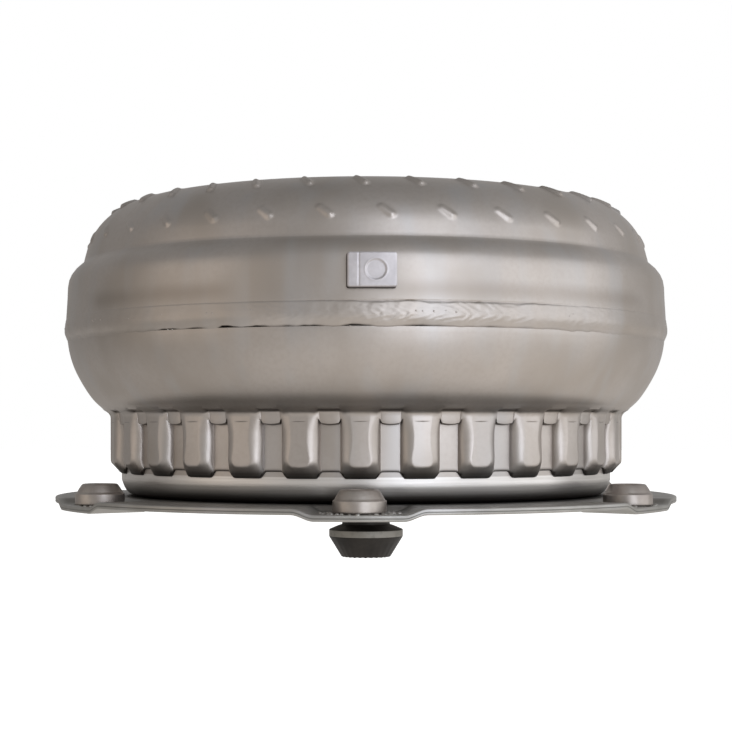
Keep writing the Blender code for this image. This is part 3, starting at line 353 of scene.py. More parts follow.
def rotary_tree() -> bpy.types.NodeTree:
    """Makes the tree that repeats a share or a part round the Z axis and joins the shares.

    Returns:
        The tree, with the inputs Count, Merge Distance and Material.
    """
    tree, source = geometry_tree("rotary_pattern", [
        ("Count", "NodeSocketInt"), ("Merge Distance", "NodeSocketFloat"),
        ("Material", "NodeSocketMaterial")])
    spots = add_node(tree, "GeometryNodePoints", inputs={"Count": source.outputs["Count"]})
    pitch = add_node(tree, "ShaderNodeMath", {"operation": "DIVIDE"},
                     {0: math.tau, 1: source.outputs["Count"]})
    number = add_node(tree, "GeometryNodeInputIndex")
    turn = add_node(tree, "ShaderNodeMath", MULTIPLY, {0: number.outputs[0], 1: pitch.outputs[0]})
    euler = add_node(tree, "ShaderNodeCombineXYZ", inputs={"Z": turn.outputs[0]})
    rotation = add_node(tree, "FunctionNodeEulerToRotation", inputs={0: euler.outputs[0]})
    copies = add_node(tree, "GeometryNodeInstanceOnPoints", inputs={
        "Points": spots.outputs[0], "Instance": source.outputs["Geometry"],
        "Rotation": rotation.outputs[0]})
    finish_tree(tree, copies.outputs[0], source)
    return tree


def bead_tree() -> bpy.types.NodeTree:
    """Makes the tree that turns a plain ring of weld into a laid bead.

    The ring carries three point attributes for it: crown, 1 on the bead's face and 0 at its
    borders; root, 1 where the notch beside the cover is filled; and edge, 1 where the border
    wanders. Sizes go in as metres.

    Returns:
        The tree.
    """
    labels = ("Mean Radius", "Crown Height", "Ripple Length", "Ripple Depth", "Chevron Slope",
              "Lump Size", "Lump Depth", "Root Fill", "Root Lap", "Edge Wander", "Seed",
              "Merge Distance")
    tree, source = geometry_tree("weld_bead", [*((label, "NodeSocketFloat") for label in labels),
                                               ("Material", "NodeSocketMaterial")])
    sockets: dict[object, bpy.types.NodeSocket] = {label: source.outputs[label] for label in labels}
    place = add_node(tree, "GeometryNodeInputPosition").outputs[0]
    sockets.update(zip("xyz", add_node(tree, "ShaderNodeSeparateXYZ", inputs={0: place}).outputs))
    for name in ("crown", "root", "edge"):
        sockets[name] = add_node(tree, "GeometryNodeInputNamedAttribute", {"data_type": "FLOAT"},
                                 {"Name": name}).outputs[0]
    # Noise fields from 0 to 1: name, size of a lump, and distance from the seed.
    for name, size, offset in (("wobble", 0.008, 0.0), ("patch", 0.028, 3.0),
                               ("lumps", "Lump Size", 7.0), ("wander", 0.010, 17.0)):
        scale = add_node(tree, "ShaderNodeMath", {"operation": "DIVIDE"},
                         {0: 1.0, 1: sockets.get(size, size)}).outputs[0]
        phase = add_node(tree, "ShaderNodeMath", {"operation": "ADD"},
                         {0: sockets["Seed"], 1: offset}).outputs[0]
        sockets[name] = add_node(tree, "ShaderNodeTexNoise", {"noise_dimensions": "4D"}, {
            "Vector": place, "W": phase, "Scale": scale, "Detail": 2.0}).outputs[0]
    # Result, operation and operands of each Math node, in order.
    steps: tuple[tuple[str | float, ...], ...] = (
        # Chevrons that point along the ring, bent a little by the wobble.
        ("angle", "ARCTAN2", "y", "x"), ("along", "MULTIPLY", "angle", "Mean Radius"),
        ("from_crown", "SUBTRACT", "z", "Crown Height"), ("from_crown", "ABSOLUTE", "from_crown"),
        ("slant", "MULTIPLY", "from_crown", "Chevron Slope"), ("phase", "ADD", "along", "slant"),
        ("bend", "MULTIPLY", "wobble", 0.019), ("phase", "ADD", "phase", "bend"),
        # Round-backed ripples with a sharp groove between them.
        ("turns", "DIVIDE", "phase", "Ripple Length"), ("turns", "MULTIPLY", "turns", math.pi),
        ("wave", "SINE", "turns"), ("wave", "ABSOLUTE", "wave"), ("wave", "SUBTRACT", "wave", 0.7),
        # The ripples come and go in patches.
        ("patch", "SUBTRACT", "patch", 0.47), ("patch", "MULTIPLY", "patch", 5.0),
        ("patch", "MAXIMUM", "patch", 0.05), ("patch", "SMOOTH_MIN", "patch", 1.0, 0.2),
        ("ripple", "MULTIPLY", "wave", "Ripple Depth"), ("ripple", "MULTIPLY", "ripple", "patch"),
        # Ripples and lumps on the face, and the filled notch.
        ("lumps", "SUBTRACT", "lumps", 0.5), ("lumps", "MULTIPLY", "lumps", "Lump Depth"),
        ("face", "ADD", "ripple", "lumps"), ("face", "MULTIPLY", "face", "crown"),
        ("filled", "MULTIPLY", "root", "Root Fill"), ("outward", "ADD", "face", "filled"),
        ("cosine", "COSINE", "angle"), ("out_x", "MULTIPLY", "cosine", "outward"),
        ("sine", "SINE", "angle"), ("out_y", "MULTIPLY", "sine", "outward"),
        # The border wanders up and down, and laps over the cover where the notch is filled.
        ("wander", "SUBTRACT", "wander", 0.5), ("wander", "MULTIPLY", "wander", "Edge Wander"),
        ("wander", "MULTIPLY", "wander", "edge"), ("lap", "MULTIPLY", "root", "Root Lap"),
        ("rise", "SUBTRACT", "wander", "lap"))
    for name, operation, *operands in steps:
        sockets[name] = add_node(tree, "ShaderNodeMath", {"operation": operation}, {
            index: sockets.get(operand, operand) for index, operand in enumerate(operands)}).outputs[0]
    offset = add_node(tree, "ShaderNodeCombineXYZ", inputs={
        "X": sockets["out_x"], "Y": sockets["out_y"], "Z": sockets["rise"]}).outputs[0]
    moved = add_node(tree, "GeometryNodeSetPosition", inputs={
        "Geometry": source.outputs["Geometry"], "Offset": offset}).outputs[0]
    finish_tree(tree, moved, source)
    return tree


def spatter_tree() -> bpy.types.NodeTree:
    """Makes the tree that scatters flattened drops of weld metal over a surface, with a fixed seed.

    Returns:
        The tree.
    """
    tree, source = geometry_tree("weld_spatter", [
        ("Density", "NodeSocketFloat"), ("Smallest", "NodeSocketFloat"),
        ("Largest", "NodeSocketFloat"), ("Flatness", "NodeSocketFloat"), ("Seed", "NodeSocketInt"),
        ("Material", "NodeSocketMaterial")])
    value = source.outputs
    spots = add_node(tree, "GeometryNodeDistributePointsOnFaces", inputs={
        "Mesh": value["Geometry"], "Density": value["Density"], "Seed": value["Seed"]})
    drop = add_node(tree, "GeometryNodeMeshIcoSphere", inputs={"Radius": 1.0, "Subdivisions": 2})
    size = add_node(tree, "FunctionNodeRandomValue", {"data_type": "FLOAT"}, {
        2: value["Smallest"], 3: value["Largest"], 8: value["Seed"]}).outputs[1]
    flat = add_node(tree, "ShaderNodeMath", MULTIPLY, {0: size, 1: value["Flatness"]})
    scale = add_node(tree, "ShaderNodeCombineXYZ", inputs={"X": size, "Y": size, "Z": flat.outputs[0]})
    copies = add_node(tree, "GeometryNodeInstanceOnPoints", inputs={
        "Points": spots.outputs["Points"], "Instance": drop.outputs[0],
        "Rotation": spots.outputs["Rotation"], "Scale": scale.outputs[0]})
    finish_tree(tree, copies.outputs[0], source, merge=False)
    return tree


# Finishes


class Lay(enum.Enum):
    """Direction in which a finish's marks run."""

    NONE = (1.0, 1.0, 1.0)
    UPRIGHT = (1.0, 1.0, 0.12)
    RINGS = (0.02, 0.02, 1.0)


@dataclass(frozen=True)
class Finish:
    """A metal, rubber or paper surface made from noise at real sizes.

    Attributes:
        name: Real material and process.
        colour: Main colour, as sRGB hex.
        shade: Colour of its darker blotches, as sRGB hex.
        metallic: 1 for bare metal, less under oxide or paint.
        roughness: Mean roughness.
        spread: How far the roughness varies either way.
        blotch: Size of the blotches, in mm.
        grain: Size of the grain, in mm.
        relief: Height of the grain, in mm.
        lay: Direction of its marks.
        marks: Spacing of its marks, in mm, or 0 for none.
        mark_depth: Depth of its marks, in mm.
    """

    name: str
    colour: str
    shade: str
    metallic: float = 1.0
    roughness: float = 0.4
    spread: float = 0.06
    blotch: float = 30.0
    grain: float = 1.0
    relief: float = 0.01
    lay: Lay = Lay.NONE
    marks: float = 0.0
    mark_depth: float = 0.0

    def noise(self, tree: bpy.types.NodeTree, place: bpy.types.NodeSocket, size: float,
              lay: Lay = Lay.NONE, detail: float = 2.0) -> bpy.types.NodeSocket:
        """Noise from 0 to 1 over Object coordinates.

        Args:
            tree: The material's tree.
            place: Object coordinates.
            size: Size of one lump, in mm.
            lay: Direction in which the lumps are drawn out.
            detail: Octaves of finer noise.

        Returns:
            The noise's factor socket.
        """
        stretched = add_node(tree, "ShaderNodeMapping", inputs={
            "Vector": place, "Scale": [share / (size * MM) for share in lay.value]})
        return add_node(tree, "ShaderNodeTexNoise", inputs={
            "Vector": stretched.outputs[0], "Scale": 1.0, "Detail": detail,
            "Roughness": 0.55}).outputs[0]

    def layered(self, tree: bpy.types.NodeTree, colour: object,
                layers: Iterable[tuple[Sequence[object], str]]) -> bpy.types.NodeSocket:
        """Lays colours over a colour.

        Args:
            tree: The material's tree.
            colour: The lowest colour.
            layers: For each layer, the shares whose product it covers, and its sRGB hex colour.

        Returns:
            The colour socket.
        """
        for shares, paint in layers:
            cover = shares[0]
            for share in shares[1:]:
                cover = add_node(tree, "ShaderNodeMath", MULTIPLY, {0: cover, 1: share}).outputs[0]
            colour = add_node(tree, "ShaderNodeMix", RGBA,
                              {0: cover, 6: colour, 7: linear(paint)}).outputs[2]
        return colour

    def tint(self, tree: bpy.types.NodeTree, place: bpy.types.NodeSocket) -> bpy.types.NodeSocket:
        """The colour before any special marks: blotches and finer flecks of the darker shade.

        Args:
            tree: The material's tree.
            place: Object coordinates.

        Returns:
            The colour socket.
        """
        spans = [(self.noise(tree, place, self.blotch), 0.35, 0.7, 0.0, 1.0),
                 (self.noise(tree, place, self.grain * 2), 0.35, 0.75, 0.0, 0.35)]
        return self.layered(tree, linear(self.colour), [
            ([add_node(tree, "ShaderNodeMapRange", SMOOTH, dict(enumerate(span))).outputs[0]],
             self.shade) for span in spans])

    def rough(self, tree: bpy.types.NodeTree, place: bpy.types.NodeSocket) -> bpy.types.NodeSocket:
        """The roughness, in patches a little smaller than the blotches.

        Args:
            tree: The material's tree.
            place: Object coordinates.

        Returns:
            The roughness socket.
        """
        return add_node(tree, "ShaderNodeMapRange", SMOOTH, {
            0: self.noise(tree, place, self.blotch * 0.6), 1: 0.3, 2: 0.7,
            3: self.roughness - self.spread, 4: self.roughness + self.spread}).outputs[0]

    def build(self) -> bpy.types.Material:
        """Makes the material.

        Returns:
            The material, with its colour, roughness and bump from nodes.
        """
        material = bpy.data.materials.new(self.name)
        material.use_nodes = True
        tree = material.node_tree
        shader = tree.nodes["Principled BSDF"]
        place = add_node(tree, "ShaderNodeTexCoord").outputs["Object"]
        tree.links.new(self.tint(tree, place), shader.inputs["Base Color"])
        tree.links.new(self.rough(tree, place), shader.inputs["Roughness"])
        shader.inputs["Metallic"].default_value = self.metallic
        grain = self.noise(tree, place, self.grain, detail=3.0)
        bump = add_node(tree, "ShaderNodeBump", inputs={
            "Height": grain, "Distance": self.relief * MM, "Strength": 1.0}).outputs[0]
        if self.marks:
            lines = self.noise(tree, place, self.marks, self.lay, detail=1.0)
            bump = add_node(tree, "ShaderNodeBump", inputs={
                "Height": lines, "Distance": self.mark_depth * MM, "Strength": 1.0,
                "Normal": bump}).outputs[0]
        tree.links.new(bump, shader.inputs["Normal"])
        material.diffuse_color = linear(self.colour)
        return material


@dataclass(frozen=True)
class BlastedCasing(Finish):
    """Pressed sheet steel, blasted with fine shot after welding.

    Attributes:
        streak: Colour of the faint upright streaks left by washing.
        stain: Colour of the heat stain beside the weld.
        painted_shade: Colour of the painted shade in the seam's notch, in creases, under ledges and in
            the gaps between parts.
        turned: Colour of the band that was turned bright after the blast, made lighter still as painted
            light where the plate and lobes keep light off it.
        weld_level: Height of the weld's middle, in mm.
        stain_reach: How far the stain reaches from the weld, in mm.
        lit_turned_band: Lower and upper level of that turned band under the lobes, which carries painted
            light, in mm.
    """

    streak: str = "ABA9A8"
    stain: str = "8A8178"
    painted_shade: str = "2A2521"
    turned: str = "E4E1DD"
    weld_level: float = 102.0
    stain_reach: float = 9.0
    lit_turned_band: tuple[float, float] = (30.5, 39.6)

    def tint(self, tree: bpy.types.NodeTree, place: bpy.types.NodeSocket) -> bpy.types.NodeSocket:
        """Blotches, upright streaks, the weld's heat stain, the turned band lightened by painted light,
        and painted shade in the gaps.

        Args:
            tree: The material's tree.
            place: Object coordinates.

        Returns:
            The colour socket.
        """
        height = add_node(tree, "ShaderNodeSeparateXYZ", inputs={0: place}).outputs[2]
        above = add_node(tree, "ShaderNodeMath", {"operation": "SUBTRACT"},
                         {0: height, 1: (self.weld_level + self.stain_reach) * MM}).outputs[0]
        far = add_node(tree, "ShaderNodeMath", {"operation": "ABSOLUTE"}, {0: above}).outputs[0]
        # Partly painted light: the turned band is mixed towards a near-white colour, lighter than the
        # turned steel itself, to make up for light that the plate and lobes keep off it.
        low, high = self.lit_turned_band
        spans = [(self.noise(tree, place, 16.0, Lay.UPRIGHT), 0.45, 0.75, 0.0, 0.6),
                 (far, 0.0, 5.5 * MM, 1.0, 0.0),
                 (self.noise(tree, place, 55.0), 0.4, 0.6, 0.0, 1.0),
                 (height, (low - 0.5) * MM, low * MM, 0.0, 1.0),
                 (height, (high - 0.2) * MM, high * MM, 0.8, 0.0),
                 (self.noise(tree, place, 0.9, Lay.RINGS), 0.25, 0.75, 0.6, 1.0)]
        streaks, beside, patchy, over, under, lines = (
            add_node(tree, "ShaderNodeMapRange", SMOOTH, dict(enumerate(span))).outputs[0]
            for span in spans)
        # Painted shade from a point attribute: it darkens the notch, creases, undersides and gaps where
        # shade falls.
        painted_dark = add_node(tree, "ShaderNodeAttribute", {"attribute_name": "painted_shade"}).outputs["Fac"]
        return self.layered(tree, super().tint(tree, place), [
            ([streaks], self.streak), ([beside, patchy, 0.5], self.stain),
            ([over, under, lines], self.turned), ([painted_dark], self.painted_shade)])


@dataclass(frozen=True)
class GroundLand(Finish):
    """Black oxide with one ground band left bare.

    Attributes:
        land: Colour of the ground band.
        low: Lower edge of the band, in mm.
        high: Upper edge of the band, in mm.
    """

    land: str = "8D8A83"
    low: float = 9.5
    high: float = 12.5

    def tint(self, tree: bpy.types.NodeTree, place: bpy.types.NodeSocket) -> bpy.types.NodeSocket:
        """The oxide, with the worn ground band over it.

        Args:
            tree: The material's tree.
            place: Object coordinates.

        Returns:
            The colour socket.
        """
        height = add_node(tree, "ShaderNodeSeparateXYZ", inputs={0: place}).outputs[2]
        spans = [(height, self.low * MM, (self.low + 0.15) * MM, 0.0, 1.0),
                 (height, (self.high - 0.15) * MM, self.high * MM, 1.0, 0.0),
                 (self.noise(tree, place, 3.0), 0.2, 0.5, 0.75, 1.0)]
        band = [add_node(tree, "ShaderNodeMapRange", SMOOTH, dict(enumerate(span))).outputs[0]
                for span in spans]
        return self.layered(tree, super().tint(tree, place), [(band, self.land)])


# Shot-blasted deep-drawn steel: a warm grey with an even satin sheen and soft blotches.
CASING = BlastedCasing(name="shot_blasted_pressed_steel", colour="B0A9A3", shade="A49C94", metallic=0.88,
                       roughness=0.41, spread=0.025, blotch=34.0, grain=0.9, relief=0.012)
# The drive plate's hot-rolled sheet: the same blast on a cooler, slightly darker steel.
SHEET = BlastedCasing(name="shot_blasted_hot_rolled_sheet", colour="A5A39E", shade="95938E",
                      metallic=0.88, roughness=0.42, spread=0.03, blotch=18.0, grain=1.1, relief=0.02,
                      lit_turned_band=(0.0, 0.1))
# Turned weld nuts, blasted with the casing: the casing's grey without its stains.
NUT = Finish(name="blasted_turned_nut_steel", colour="A8A19A", shade="98908A", metallic=0.88,
             roughness=0.42, spread=0.03, blotch=9.0, grain=0.8, relief=0.01)
# Zinc plating that the blast has dulled: paler and cooler than the casing. Its weld level and its
# turned band lie off the balance weight, so it has no stain and no painted light, and painted shade
# darkens the joint behind it.
PLATED = BlastedCasing(name="dulled_zinc_plating", colour="BEBABB", shade="B0ACAD", metallic=0.8,
                       roughness=0.48, spread=0.03, blotch=6.0, grain=0.6, relief=0.01,
                       streak="B4B0B1", weld_level=-60.0, lit_turned_band=(0.0, 0.1))
# Blackened turned steel: near black with a soft sheen, and one ground band.
BLACK_OXIDE = GroundLand(name="black_oxide_turned_steel", colour="2D2925", shade="221F1C", metallic=0.55,
                         roughness=0.5, spread=0.05, blotch=9.0, grain=0.6, relief=0.008,
                         lay=Lay.RINGS, marks=0.5, mark_depth=0.01)
# Sheet steel as it leaves the press: a cooler grey, with faint die marks.
PRESSED = Finish(name="pressed_sheet_steel", colour="A3A19C", shade="8C8A86", roughness=0.36,
                 blotch=22.0, grain=0.7, relief=0.006)
# Turned steel: bright, with fine rings from the tool.
TURNED = Finish(name="turned_steel", colour="B9B8B4", shade="A3A29E", roughness=0.26, spread=0.04,
                blotch=14.0, grain=0.5, relief=0.003, lay=Lay.RINGS, marks=0.7, mark_depth=0.012)
# Hardened and ground steel: the brightest and smoothest, slightly blue.
HARDENED = Finish(name="hardened_ground_steel", colour="BFC1C2", shade="A8AAAC", roughness=0.17,
                  spread=0.03, blotch=10.0, grain=0.4, relief=0.002, lay=Lay.RINGS, marks=0.5,
                  mark_depth=0.004)
# Sand-cast aluminium: pale, with a pebbled skin.
CAST = Finish(name="cast_aluminium", colour="C9CACB", shade="AEB0B1", roughness=0.46, blotch=16.0,
              grain=1.2, relief=0.04)
# Oil-soaked friction paper: matt brown fibres.
PAPER = Finish(name="wet_friction_paper", colour="5B4230", shade="3F2D20", metallic=0.0, roughness=0.85,
               blotch=8.0, grain=0.8, relief=0.03)
# Moulded nitrile rubber: black with a dull sheen.
RUBBER = Finish(name="moulded_nitrile_rubber", colour="1B1B1B", shade="121212", metallic=0.0,
                roughness=0.6, blotch=7.0, grain=0.5, relief=0.006)
# Oil-tempered spring wire: dark grey with a slight blue sheen.
WIRE = Finish(name="oil_tempered_spring_steel", colour="55575C", shade="3E4044", roughness=0.32,
              blotch=9.0, grain=0.5, relief=0.004)

SLOT_FINISHES: dict[str, Finish] = {
    "casing_steel": CASING, "black_steel": BLACK_OXIDE, "pressed_steel": PRESSED,
    "machined_steel": TURNED, "hardened_steel": HARDENED, "cast_aluminium": CAST,
    "friction_lining": PAPER, "nitrile_rubber": RUBBER, "spring_steel": WIRE,
}


# The visible casing


@dataclass
class FrontCover:
    """The deep-drawn cover, with its ring of pressed lobes. Sizes are in mm.

    Attributes:
        lobes: Number of lobes.
        low_radius: Radius of the cylinder under the lobes.
        groove_radius: Radius of the grooves' floor.
        land_radius: Radius of the short land over each groove.
        lobe_radius: Radius of the lobes' flats.
        base_half: Half width of a lobe where its flanks reach the groove.
        step_low: Height of the step under a lobe.
        step_high: Height of the step under a groove.
        under_level: Height where a lobe's slanted underside starts.
        crease_height: Height of the fine crease across a lobe.
        crease_width: How far each side of its middle the crease fades, up and down.
        crease_depth: Depth of the crease.
        crease_reach: Half length of the crease.
        wall: Thickness of the sheet.
        face: Level of the closed face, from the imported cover.
        rim: Level of the rim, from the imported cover.
    """

    lobes: int = 30
    low_radius: float = 110.6
    groove_radius: float = 111.3
    land_radius: float = 113.8
    lobe_radius: float = 115.6
    base_half: float = 8.15
    step_low: float = 39.0
    step_high: float = 41.7
    under_level: float = 42.5
    crease_height: float = 61.3
    crease_width: float = 0.16
    crease_depth: float = 0.16
    crease_reach: float = 2.9
    wall: float = 3.0
    face: float = field(init=False)
    rim: float = field(init=False)

    def __post_init__(self) -> None:
        """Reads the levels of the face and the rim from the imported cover."""
        low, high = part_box("front_cover")
        self.face, self.rim = low.z / MM, high.z / MM

    @property
    def half_pitch(self) -> float:
        """Half the distance between two lobes, along the lobes' flats."""
        return math.pi / self.lobes * self.lobe_radius

    def flat_half(self, height: np.ndarray) -> np.ndarray:
        """Half width of a lobe's flat: waisted, and closed by a round end below.

        Args:
            height: Height of each station.

        Returns:
            The half width at each station.
        """
        waist = 3.75 - 0.55 * np.cos((height - 54.8) / 7.0 * math.pi / 2 * 0.9) ** 2
        below = np.clip((46.0 - height) / 3.5, 0, 1)
        wide = np.maximum(waist + 0.45 * smooth_step((50.5 - height) / 4), 3.1)
        return wide * np.sqrt(1 - 0.8 * below ** 2)

    def columns(self) -> tuple[np.ndarray, np.ndarray]:
        """Stations across one pitch: the zone (0 flat, 1 flank, 2 groove) plus a share of it.

        Returns:
            The stations, and the side that each lies on.
        """
        flat = [0.0, 0.5, 0.88, 1.0]
        flank = [1.07, 1.2, 1.38, 1.56, 1.72, 1.85, 1.94, 1.985, 2.0]
        groove = [2.12, 2.55, 3.0]
        half = np.array(flat + flank + groove)
        sides = np.concatenate([-np.ones(len(half) - 1), np.ones(len(half))])
        return np.concatenate([half[:0:-1], half]), sides

    def across(self, stations: np.ndarray, height: np.ndarray) -> tuple[np.ndarray, np.ndarray]:
        """Places the stations at a height.

        Args:
            stations: Stations, as columns gives them.
            height: Height of each station.

        Returns:
            The distances, and the shares from 0 at the flat to 1 at the groove.
        """
        flat = self.flat_half(height)
        flank = np.clip(stations - 1, 0, 1)
        groove = np.clip(stations - 2, 0, 1)
        distance = flat * np.clip(stations, 0, 1) + (self.base_half - flat) * flank
        return distance + (self.half_pitch - self.base_half) * groove, flank

    def step_level(self, distance: np.ndarray) -> np.ndarray:
        """Height of the scalloped step between the low cylinder and the lobed ring."""
        share = smooth_step((distance - 6.0) / 2.9)
        return self.step_low + (self.step_high - self.step_low) * share

    def crease_level(self, distance: np.ndarray) -> np.ndarray:
        """Height of the edge under a groove's land, which runs on into the crease across a lobe.

        Args:
            distance: Distance of each station from the lobe's middle.

        Returns:
            The height at each station.
        """
        from_groove = self.half_pitch - distance
        smile = 60.1 + 0.5 * np.clip(from_groove / 3.9, 0, 1) ** 2
        tray = smile + (62.4 - smile) * smooth_step((8.6 - distance) / 1.2)
        return tray + (self.crease_height - tray) * smooth_step((6.6 - distance) / 2.4)

    def top_level(self, distance: np.ndarray) -> np.ndarray:
        """Height where the ring turns out into the flare."""
        return 64.8 - 1.5 * smooth_step((8.3 - distance) / 2.5)

    def surface(self, distance: np.ndarray, flank: np.ndarray, height: np.ndarray) -> np.ndarray:
        """Radius of the lobed ring.

        Args:
            distance: Distance of each station from the lobe's middle.
            flank: Share of the flank at each station.
            height: Height of each station.

        Returns:
            The radius at each station.
        """
        crease, step = self.crease_level(distance), self.step_level(distance)
        in_groove = smooth_step((distance - 7.35) / 0.8)
        sharp_rise = smooth_step((height - crease + 0.3) / 0.6)
        soft_rise = smooth_step((height - 56.0) / 8.5)
        rise = in_groove * sharp_rise + (1 - in_groove) * soft_rise
        floor = self.groove_radius + (self.land_radius - self.groove_radius) * rise
        floor = floor + 0.6 * np.clip((height - crease) / 4, 0, 1)
        shape = 0.78 * np.sqrt(np.clip(1 - flank ** 2, 0, 1)) + 0.22 * (1 - flank)
        full = self.lobe_radius - floor
        end_level = 46.5 - 2.7 * np.sqrt(np.clip(1 - (distance / 4.6) ** 2, 0, 1))
        near_end = np.clip((end_level - height) / (end_level - self.under_level), 0, 1)
        full = full - 0.9 * near_end ** 2
        under = np.clip((height - step) / np.maximum(self.under_level - step, 0.4), 0, 1)
        full = full * (0.05 + 0.95 * under)
        dent = np.exp(-((height - self.crease_height) / self.crease_width) ** 2)
        ends = smooth_step((self.crease_reach - distance) / 0.5)
        return floor + full * shape - self.crease_depth * dent * ends

    def sector(self) -> bpy.types.Mesh:
        """Makes one pitch of the cover: outer skin, rim and inner skin.

        Returns:
            The mesh, with its grime.
        """
        stations, sides = self.columns()
        rest, _ = self.across(stations, np.full(stations.shape, 55.0))
        rest_angle = FRONT + sides * rest / self.lobe_radius
        rows: list[np.ndarray] = []
        painted_shade: list[np.ndarray] = []

        def plain(outline: Outline) -> None:
            """Adds rows with one radius each, with painted shade towards the gap over the drive plate.

            Args:
                outline: Radius and height of each row.
            """
            for radius, z in outline:
                rows.append(ring_points(radius, rest_angle, z))
                painted_shade.append(np.full(stations.shape, 0.9 * smooth_step(np.array((35.5 - z) / 5.0))))

        corner = curve_through([(103.6, self.face), (106.6, self.face + 0.5), (108.7, self.face + 2.4),
                                (109.8, self.face + 4.6), (self.low_radius, self.face + 6.9)], 1.1)
        plain([(0.0, self.face), (40.0, self.face), (80.0, self.face), *corner,
               (self.low_radius, self.face + 8.2)])

        def warped(level: Callable[[np.ndarray], np.ndarray], nudge: float) -> np.ndarray:
            """Finds where a level crosses every station.

            Args:
                level: Gives the level's height from the distance.
                nudge: Height added to it.

            Returns:
                The height at each station.
            """
            height = np.full(stations.shape, 50.0)
            for _ in range(4):
                height = level(self.across(stations, height)[0]) + nudge
            return height

        def constant(level: float) -> np.ndarray:
            """One height at every station."""
            return np.full(stations.shape, level)

        step = warped(self.step_level, -0.14)
        distance, _ = self.across(stations, step)
        # The inset row along the step is painted dark, as the shade under the step's edge.
        for nudge, inset in ((-0.05, 0.0), (0.04, 0.22)):
            rows.append(ring_points(self.low_radius - inset, FRONT + sides * distance / self.lobe_radius,
                                    step + nudge))
            painted_shade.append(np.full(stations.shape, 0.75 if inset else 0.0))
        keys = [warped(self.step_level, 0.1), constant(self.under_level), constant(47.0), constant(57.0),
                warped(self.crease_level, -0.42), warped(self.crease_level, 0.0),
                warped(self.crease_level, 0.42), warped(self.top_level, 0.0)]
        counts = [4, 8, 6, 4, 3, 3, 3]
        for low, high, count in zip(keys, keys[1:], counts):
            for share in (np.arange(count) / count).tolist():
                height = low + (high - low) * share
                distance, flank = self.across(stations, height)
                radius = self.surface(distance, flank, height)
                rows.append(ring_points(radius, FRONT + sides * distance / self.lobe_radius, height))
                # Painted shade: a dark line in each lobe's crease, a painted shadow under each groove's
                # land, a dark line along the step and painted shade on the lobes' undersides.
                crease = self.crease_level(distance)
                dark = (0.5 * np.exp(-((height - self.crease_height) / 0.14) ** 2)
                        * (distance < self.crease_reach))
                land = (0.7 * np.exp(-((height - crease) / 0.3) ** 2)
                        * smooth_step((distance - 7.5) / 0.6))
                beneath = (smooth_step((self.under_level - 0.1 - height) / 1.5)
                           * smooth_step((7.9 - distance) / 0.8))
                lip = 0.85 * np.clip(1.3 - (height - keys[0]) / 0.7, 0, 1)
                painted_shade.append(np.minimum(dark + land + lip + 0.6 * beneath, 0.95))
        height = keys[-1]
        distance, flank = self.across(stations, height)
        radius = self.surface(distance, flank, height)
        # Painted shade in the hollow where the ring turns out into the flare, strongest over the
        # grooves.
        junction_shade = 0.3 + 0.5 * smooth_step((distance - 7.0) / 1.0)
        for share, painted_dark in ((0.0, 0.0), (0.2, 0.1), (0.35, 0.6), (0.5, 1.0), (0.62, 0.7),
                            (0.8, 0.3), (1.0, 0.1)):
            rows.append(ring_points(radius + (118.3 - radius) * share ** 1.8,
                                    FRONT + sides * distance / self.lobe_radius,
                                    height + (66.6 - height) * (1.3 * share - 0.3 * share ** 2)))
            painted_shade.append(junction_shade * painted_dark)
        flare = curve_through([(119.5, 67.9), (121.2, 69.4), (123.4, 71.7), (126.3, 75.8),
                               (128.9, 80.2), (131.1, 84.6), (132.7, 89.0), (133.7, 93.0),
                               (134.25, self.rim - 0.5)], 1.5)
        plain(flare)
        plain([(134.2, self.rim - 0.15), (134.0, self.rim), (134.2 - self.wall, self.rim)])
        inside = curve_through([(130.4, 90.0), (126.0, 80.4), (120.0, 72.0), (115.0, 68.5)], 5.0)
        plain([*inside, (109.0, 64.0), (108.0, 45.0), (107.4, self.face + 6.0),
               (104.0, self.face + self.wall), (60.0, self.face + self.wall),
               (0.0, self.face + self.wall)])
        return grid_mesh("cover_pitch", np.array(rows), {"painted_shade": np.array(painted_shade)})

    def build(self, pattern: bpy.types.NodeTree, look: bpy.types.Material) -> bpy.types.Object:
        """Repeats the pitch round the axis.

        Args:
            pattern: The tree that repeats a share round the axis.
            look: The piece's material.

        Returns:
            The finished piece.
        """
        piece = linked("front_cover_shell", self.sector())
        grow(piece, pattern, {"Count": self.lobes, "Merge Distance": MERGE_DISTANCE, "Material": look},
             sharp=34.0)
        return dressed(piece, look, nodes=["front_cover"])


